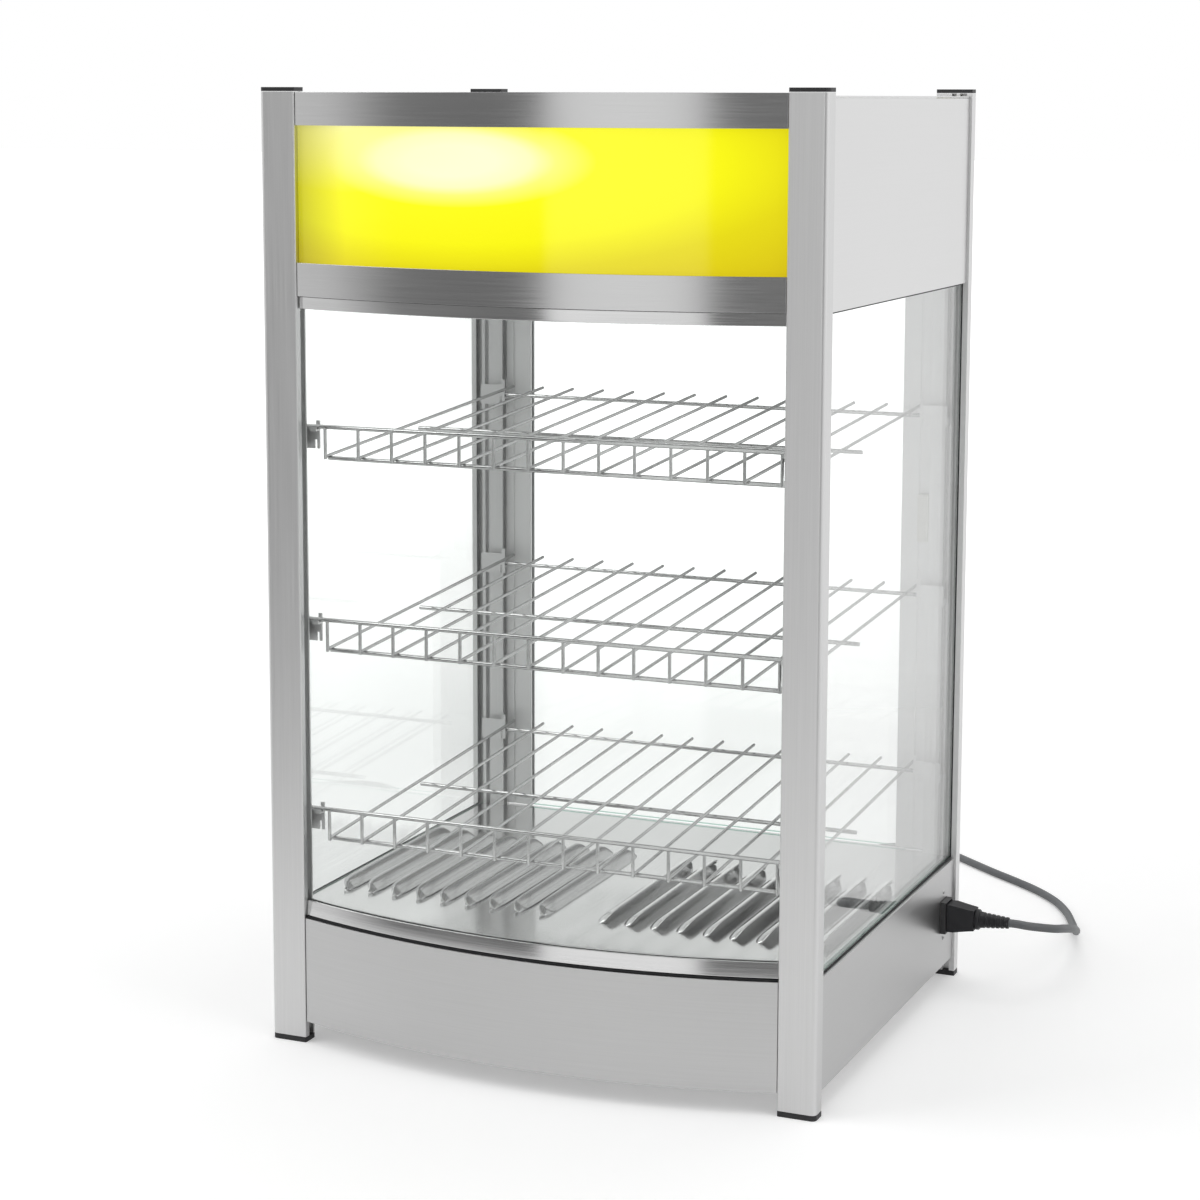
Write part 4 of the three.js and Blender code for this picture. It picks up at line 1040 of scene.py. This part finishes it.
hoodLook = {
    "count": 9,
    "pitch": 0.02175,
    "first": 0.0189,
    "width": 0.013,
    "height": 0.008,
    "skin": 0.001,
    "front": -0.117,
    "length": 0.19,
    "spans": 8,
    "smoothWithin": 60,
    "floorTop": 0.1045,
    "arch": (0, 0.36, 0.64, 0.84, 0.95, 1.0),
    "endRows": ((0, 0.3, 0.1), (0.0025, 0.55, 0.42), (0.006, 0.82, 0.78), (0.0105, 0.96, 0.96)),
    "cutBelow": 0.00005,  # the plate is cut this far below its top, which is then closed and raised
    "joinWithin": 0.000005,
}


def hoodPiece(look):
    columns = len(look["arch"]) - 1
    rows = [share[0] for share in look["endRows"]]
    length = look["length"]
    middle = [length * k / look["spans"] for k in range(1, look["spans"])]
    stations = rows + middle + [length - r for r in reversed(rows)]
    hood = startPiece(
        bpy.ops.mesh.primitive_grid_add,
        x_subdivisions=columns,
        y_subdivisions=len(stations) - 1,
        size=1,
        location=(0.5, 0.5, 0),
    )
    settlePlace(hood)
    editPiece(hood, "VERT")
    mesh = bmesh.from_edit_mesh(hood.data)
    for vertex in mesh.verts:
        column = round(vertex.co.x * columns)
        row = round(vertex.co.y * (len(stations) - 1))
        vertex.co = (
            look["width"] * column / columns,
            stations[row],
            look["height"] * look["arch"][column],
        )
    bmesh.update_edit_mesh(hood.data)
    for place, wide, high in look["endRows"]:
        for y in (place, length - place):
            pickVertices(hood, lambda v: abs(v.y - y) < closeness["row"])
            bpy.ops.transform.resize(
                value=(wide, 1, high), center_override=(look["width"] / 2, y, 0)
            )
    leaveEdit()
    applyModifier(hood, "SOLIDIFY", thickness=look["skin"], offset=-1)
    applyModifier(hood, "SUBSURF", levels=1, render_levels=1)
    smoothPiece(hood, look["smoothWithin"], weighted=False)
    return hood


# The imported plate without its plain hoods
def barePlate(look):
    plate = solidCopy("floor_plate", "plate")
    bpy.ops.mesh.bisect(
        plane_co=(0, 0, look["floorTop"] - look["cutBelow"]),
        plane_no=(0, 0, 1),
        use_fill=True,
        clear_outer=True,
    )
    mesh = bmesh.from_edit_mesh(plate.data)
    for vertex in mesh.verts:
        if abs(vertex.co.z - look["floorTop"]) < 2 * look["cutBelow"]:
            vertex.co.z = look["floorTop"]
    bmesh.update_edit_mesh(plate.data)
    selectAll()
    bpy.ops.mesh.dissolve_degenerate(threshold=look["joinWithin"])
    bpy.ops.mesh.dissolve_limited(angle_limit=math.radians(closeness["flat"]))
    leaveEdit()
    bpy.ops.object.shade_flat()
    dress(plate, "floor")
    return plate


def addFloor(look):
    parts = [barePlate(look)]
    hood = hoodPiece(look)
    for i in range(look["count"]):
        inner = look["first"] + i * look["pitch"]
        for side in (1, -1):
            copy = ownCopy(hood, "hood")
            # The left group wears the darker copy of the floor's steel, as painted dark reflection
            dress(copy, "floor" if side > 0 else "hood")
            if side < 0:
                copy.scale = (-1, 1, 1)
                settlePlace(copy)
                editPiece(copy)
                selectAll()
                bpy.ops.mesh.flip_normals()
                leaveEdit()
            place = Vector((side * inner, look["front"], look["floorTop"]))
            movePiece(copy, sourceShift + place)
            parts.append(copy)
    bpy.data.objects.remove(hood)
    floor = joinPieces("floor_plate_pressed", parts)
    mountPiece(floor, root, "floor", ("floor_plate",), dressed=True)


addFloor(hoodLook)
print("floor made")

# Moulded connector, plug and knob, each drawn out from its end

mouldLook = {
    "sides": {"collar": 40, "relief": 32, "turned": 64, "pin": 24},
    "ridges": {
        "count": 5,
        "plainShare": 0.16,
        "groove": ((0, 0), (0.08, 0.0012), (0.42, 0.0012), (0.5, 0)),  # share of a step, and depth
    },
    "smoothWithin": 40,
    "connector": {
        "start": (0.2135, 0.14795, 0.0616),
        "grip": [
            (0.0, 0.0155, 0.0225), (0.015, 0.0155, 0.0225), (0.0152, 0.017, 0.023),
            (0.0205, 0.017, 0.023), (0.033, 0.0155, 0.0185), (0.0382, 0.0145, 0.0172),
        ],
        "edge": (0.0014, 4, 20),  # width, steps, and least angle in degrees
        "collar": [
            (0.0378, 0.013), (0.0384, 0.0158), (0.0392, 0.0172), (0.0412, 0.0172),
            (0.042, 0.0158), (0.0426, 0.013),
        ],
        "relief": (0.0426, 0.0663, 0.0138, 0.0094),  # from, to, and its two widths
    },
    "plug": {
        "start": (-0.1258, 0.24828, 0.0186),
        "relief": (0.026, 0.0, 0.014, 0.0088),
        "body": [
            (0.0255, 0.014), (0.026, 0.018), (0.031, 0.023), (0.0385, 0.032), (0.042, 0.0355),
            (0.044, 0.0364),
        ],
        "rings": {"count": 3, "pitch": 0.005},
        "ring": [(0.048, 0.0364), (0.0485, 0.0352), (0.0505, 0.0352), (0.051, 0.0364)],
        "end": [(0.074, 0.0364), (0.0755, 0.0354), (0.076, 0.033)],
        "pin": [(0.075, 0.0048), (0.0915, 0.0048), (0.0938, 0.0042), (0.095, 0.0026)],
        "pinSpread": 0.0095,
    },
    "knob": {
        "start": (0.182, 0.19165, 0.34745),
        "smoothWithin": 50,
        "body": [
            (0.0, 0.0174), (0.0006, 0.018), (0.0034, 0.018), (0.004, 0.0174), (0.0046, 0.013),
            (0.0066, 0.0116), (0.0105, 0.012), (0.013, 0.0165), (0.0142, 0.024), (0.0154, 0.0282),
            (0.0172, 0.0298), (0.0196, 0.03), (0.0226, 0.0298), (0.0246, 0.0282), (0.026, 0.0246),
            (0.0266, 0.0205), (0.0264, 0.018), (0.0264, 0.0008),
        ],
    },
}


# Stations of a sleeve with grooves round it, between two widths
def ridgedStations(start, end, startWidth, endWidth, ridges):
    middle = start + (end - start) * ridges["plainShare"]
    step = (end - middle) / ridges["count"]
    stations = [(start, startWidth)]
    for i in range(ridges["count"]):
        for share, cut in ridges["groove"]:
            height = middle + (i + share) * step
            width = startWidth + (endWidth - startWidth) * (height - start) / (end - start)
            stations.append((height, width - cut))
    stations.append((end, endWidth))
    return roundStations(stations)


def addConnector(look, part):
    sides = look["sides"]
    grip = drawnPiece("grip", part["grip"], 4)
    roundEdges(grip, *part["edge"])
    collar = drawnPiece("collar", roundStations(part["collar"]), sides["collar"])
    stations = ridgedStations(*part["relief"], look["ridges"])
    relief = drawnPiece("relief", stations, sides["relief"])
    piece = joinPieces("connector_moulded", [grip, collar, relief])
    aimPiece(piece, (1, 0, 0), part["start"])
    smoothPiece(piece, look["smoothWithin"])
    return mountPiece(piece, root, "moulding", ("connector",))


def addPlug(look, part):
    sides = look["sides"]
    stations = ridgedStations(*part["relief"], look["ridges"])
    relief = drawnPiece("relief", stations[::-1], sides["relief"])
    lifts = [i * part["rings"]["pitch"] for i in range(part["rings"]["count"])]
    rings = [(height + lift, width) for lift in lifts for height, width in part["ring"]]
    stations = roundStations(part["body"] + rings + part["end"])
    body = drawnPiece("body", stations, sides["turned"])
    pins = []
    for side in (-1, 1):
        pin = drawnPiece("pin", roundStations(part["pin"]), sides["pin"])
        movePiece(pin, (side * part["pinSpread"], 0, 0))
        dress(pin, "trim")
        pins.append(pin)
    for piece in (relief, body):
        dress(piece, "moulding")
    plug = joinPieces("wall_plug_moulded", [body, relief, *pins])
    aimPiece(plug, (-1, 0, 0), part["start"])
    smoothPiece(plug, look["smoothWithin"])
    return mountPiece(plug, root, "moulding", ("wall_plug",), dressed=True)


def addKnob(look, part):
    knob = drawnPiece("door_knob_turned", roundStations(part["body"]), look["sides"]["turned"])
    aimPiece(knob, (0, 1, 0), part["start"])
    smoothPiece(knob, part["smoothWithin"])
    return mountPiece(knob, "rear_door", "black_plastic", ("door_knob",))


connector = addConnector(mouldLook, mouldLook["connector"])
plug = addPlug(mouldLook, mouldLook["plug"])
addKnob(mouldLook, mouldLook["knob"])

# Screw heads with a cross recess, in grids: each has its places across, its depth and its heights

screwLook = {
    "head": [(0, 0.0058), (0.0006, 0.0058), (0.0011, 0.005), (0.0014, 0.0034)],
    "recess": (0.0034, 0.0008, 0.0012),
    "floor": 0.0005,
    "sides": 24,
    "smoothWithin": 30,
    "behind": {
        "cabinet": [
            ((-0.182, 0.179), 0.18935, (0.027, 0.0945)),
            ((-0.182, -0.0015, 0.179), 0.18935, (0.602, 0.73)),
            ((-0.209,), 0.19325, (0.1582, 0.1694, 0.5011, 0.5123)),
        ],
        "rear_door": [((-0.184,), 0.19295, (0.1824, 0.1936, 0.5253, 0.5365))],
    },
    "inlet": ((0.2235,), 0.14795, (0.0816, 0.0416)),
    "inletShare": 0.55,
}


def screwHead(look):
    head = drawnPiece("screw", roundStations(look["head"]), look["sides"])
    long, thin, deep = look["recess"]
    for size in ((long, thin), (thin, long)):
        low = (-size[0] / 2, -size[1] / 2, look["floor"])
        high = (size[0] / 2, size[1] / 2, look["floor"] + deep)
        cutter = blockPiece("recess", low, high)
        applyModifier(head, "BOOLEAN", object=cutter, operation="DIFFERENCE")
        bpy.data.objects.remove(cutter)
    return head


def addScrews(look):
    head = screwHead(look)
    rows = [(body, (0, 1, 0), grids, 1) for body, grids in look["behind"].items()]
    rows.append((root, (1, 0, 0), [look["inlet"]], look["inletShare"]))
    for i, (body, direction, grids, size) in enumerate(rows):
        screws = []
        for place in [(x, y, z) for across, y, heights in grids for z in heights for x in across]:
            screw = ownCopy(head, "screw")
            screw.scale = (size, size, size)
            settlePlace(screw)
            aimPiece(screw, direction, place)
            screws.append(screw)
        row = joinPieces(f"screws_{i}", screws)
        smoothPiece(row, look["smoothWithin"], weighted=False)
        mountPiece(row, body, "hinge")
    bpy.data.objects.remove(head)


addScrews(screwLook)

# Marks on the controls: a ring and a bar on each rocker, a pointer on the knob, ticks round it

markLook = {
    "thin": 0.0003,
    "bar": (0.0009, 0.0046),
    "ring": {"major_radius": 0.0021, "minor_radius": 0.00035, "major_segments": 40, "minor_segments": 8},
    "outwards": 0.8,
    "pointer": (0.0012, 0.011, 0.0095),  # wide, long, and its middle above the knob's axis
    "knob": (-0.1215, 0.20835, 0.058),
    "panel": 0.18935,
    "ticks": 10,
    "sweep": 270,
    "tick": (0.0009, 0.0032, 0.0245),
}


# The two faces of a rocker that look out of the cabinet
def rockerFaces(piece, outwards):
    facing = [f for f in piece.data.polygons if f.normal.y > outwards]
    facing.sort(key=lambda f: f.area, reverse=True)
    return sorted(facing[:2], key=lambda f: f.center.z, reverse=True)


def thinBar(wide, long, thin, turn=0, away=0):
    low = (-wide / 2, away - long / 2, -thin / 2)
    high = (wide / 2, away + long / 2, thin / 2)
    bar = blockPiece("mark", low, high)
    bar.rotation_euler = (0, 0, turn)
    settlePlace(bar)
    return bar


def addMarks(look):
    thin = look["thin"]
    for node, body, slot in (
        ("heat_switch", "heat_rocker", "white_plastic"),
        ("light_switch", "light_rocker", "black_plastic"),
    ):
        upper, lower = rockerFaces(made[node], look["outwards"])
        bar = thinBar(*look["bar"], thin)
        aimPiece(bar, upper.normal, upper.center)
        ring = startPiece(bpy.ops.mesh.primitive_torus_add, **look["ring"])
        aimPiece(ring, lower.normal, lower.center)
        marks = joinPieces(node + "_marks", [bar, ring])
        mountPiece(marks, body, slot)
    wide, long, above = look["pointer"]
    pointer = thinBar(wide, long, thin, away=above)
    pointer.name = "knob_pointer"
    aimPiece(pointer, (0, 1, 0), look["knob"])
    mountPiece(pointer, "thermostat_knob", "white_plastic")
    wide, long, away = look["tick"]
    ticks = []
    for i in range(look["ticks"]):
        angle = math.radians(look["sweep"]) * i / (look["ticks"] - 1)
        ticks.append(thinBar(wide, long, thin, -angle, away))  # the way that the knob turns
    scale = joinPieces("heat_scale", ticks)
    aimPiece(scale, (0, 1, 0), (look["knob"][0], look["panel"], look["knob"][2]))
    mountPiece(scale, root, "black_plastic")


addMarks(markLook)
print("details made")


# Table and studio

studio = {
    "tableSize": 60,
    "tableTone": 0.86,
    "tableRoughness": 0.9,
    "tableShine": 0.1,
    "tableGlow": (0.27, 1.0),  # beside the object and far from it
    "tableFade": (0.9, 3.0),  # where the one turns into the other, in metres
    "roomLight": 0.5,
    "mirroredGlow": 0.12,
    "mirroredReach": (0.7, 1.5),
    # what mirrored light shows of the studio's walls: degrees round from the front, and tone
    "walls": [
        (-180, 0.3), (-170, 0.3), (-160, 0.9), (-75, 0.85), (-58, 0.75), (-46, 0.25), (-21, 0.18),
        (-19.5, 1.0), (4, 1.0), (5.5, 0.2), (24, 0.25), (45, 0.8), (100, 0.95), (160, 0.95),
        (172, 0.9), (180, 0.3),
    ],
    "ceiling": (0.5, 0.85),  # heights of view between which the walls turn into a white ceiling
    "lamps": [
        # name, place, size, power
        ("leftSoftbox", (-2.4, -1.6, 2.6), 2.2, 34),
        ("rightSoftbox", (2.8, -0.6, 2.4), 2.0, 18),
        ("topSoftbox", (0.0, 0.4, 3.4), 2.6, 30),
    ],
    "lampsAim": (0, 0, 0.35),
}


# 1 for the rays of the kinds given, 0 for all others
def rayShare(tree, *kinds):
    path = addNode(tree, "ShaderNodeLightPath")
    share = path.outputs[kinds[0]]
    for kind in kinds[1:]:
        share = addMath(tree, "MAXIMUM", share, path.outputs[kind])
    return share


def addTable(look):
    table = startPiece(bpy.ops.mesh.primitive_plane_add, size=look["tableSize"])
    table.name = "table"
    material, tree, shader = startMaterial("tableTop")
    setSockets(
        shader,
        {
            "Base Color": (*grey(look["tableTone"]), 1),
            "Roughness": look["tableRoughness"],
            "Specular IOR Level": look["tableShine"],
            "Emission Color": (1, 1, 1, 1),
        },
    )
    glossy = rayShare(tree, "Is Glossy Ray")
    shown = rayShare(tree, "Is Camera Ray", "Is Transmission Ray")
    measure = addNode(tree, "ShaderNodeVectorMath", operation="LENGTH")
    tree.links.new(patternPlace(tree), measure.inputs[0])
    distance = measure.outputs["Value"]
    spread = addRange(tree, distance, *look["tableGlow"], *look["tableFade"])
    glow = addMath(tree, "MULTIPLY", spread, shown)
    glow = addMath(tree, "MULTIPLY_ADD", glossy, look["mirroredGlow"], glow)
    tree.links.new(glow, shader.inputs["Emission Strength"])
    # Mirrored light meets the table only near the object, and the walls beyond it
    beyond = addRange(tree, distance, 0, 1, *look["mirroredReach"])
    opened = addMath(tree, "MULTIPLY", beyond, glossy)
    mixShaders(tree, opened, shader, addNode(tree, "ShaderNodeBsdfTransparent"))
    table.data.materials.append(material)


def addRoom(look):
    world = bpy.data.worlds.new("studio")
    bpy.context.scene.world = world
    world.use_nodes = True
    tree = world.node_tree
    light = tree.nodes["Background"]
    setSockets(light, {"Color": (1, 1, 1, 1), "Strength": look["roomLight"]})
    seen = addNode(tree, "ShaderNodeBackground")
    shown = rayShare(tree, "Is Camera Ray", "Is Glossy Ray", "Is Transmission Ray")
    coordinates = addNode(tree, "ShaderNodeTexCoord")
    direction = splitVector(tree, coordinates.outputs["Generated"])
    ahead = addMath(tree, "MULTIPLY", direction["Y"], -1)
    around = addMath(tree, "ARCTAN2", direction["X"], ahead)
    turned = addRange(tree, around, 0, 1, -math.pi, math.pi)
    stops = [(0.5 + degrees / 360, grey(tone)) for degrees, tone in look["walls"]]
    walls = addRamp(tree, turned, stops)
    height = addRange(tree, direction["Z"], 0, 1, *look["ceiling"])
    colour = mixColours(tree, height, walls, (1, 1, 1))
    colour = mixColours(tree, rayShare(tree, "Is Glossy Ray"), (1, 1, 1), colour)
    tree.links.new(colour, seen.inputs["Color"])
    mixShaders(tree, shown, light, seen, "World Output")


def addLamps(look):
    for name, place, size, power in look["lamps"]:
        lamp = startPiece(bpy.ops.object.light_add, type="AREA", location=place)
        lamp.name = name
        lamp.data.size = size
        lamp.data.energy = power
        aim = Vector(look["lampsAim"]) - Vector(place)
        lamp.rotation_euler = aim.to_track_quat("-Z", "Y").to_euler()


addTable(studio)
addRoom(studio)
addLamps(studio)
print("studio set")
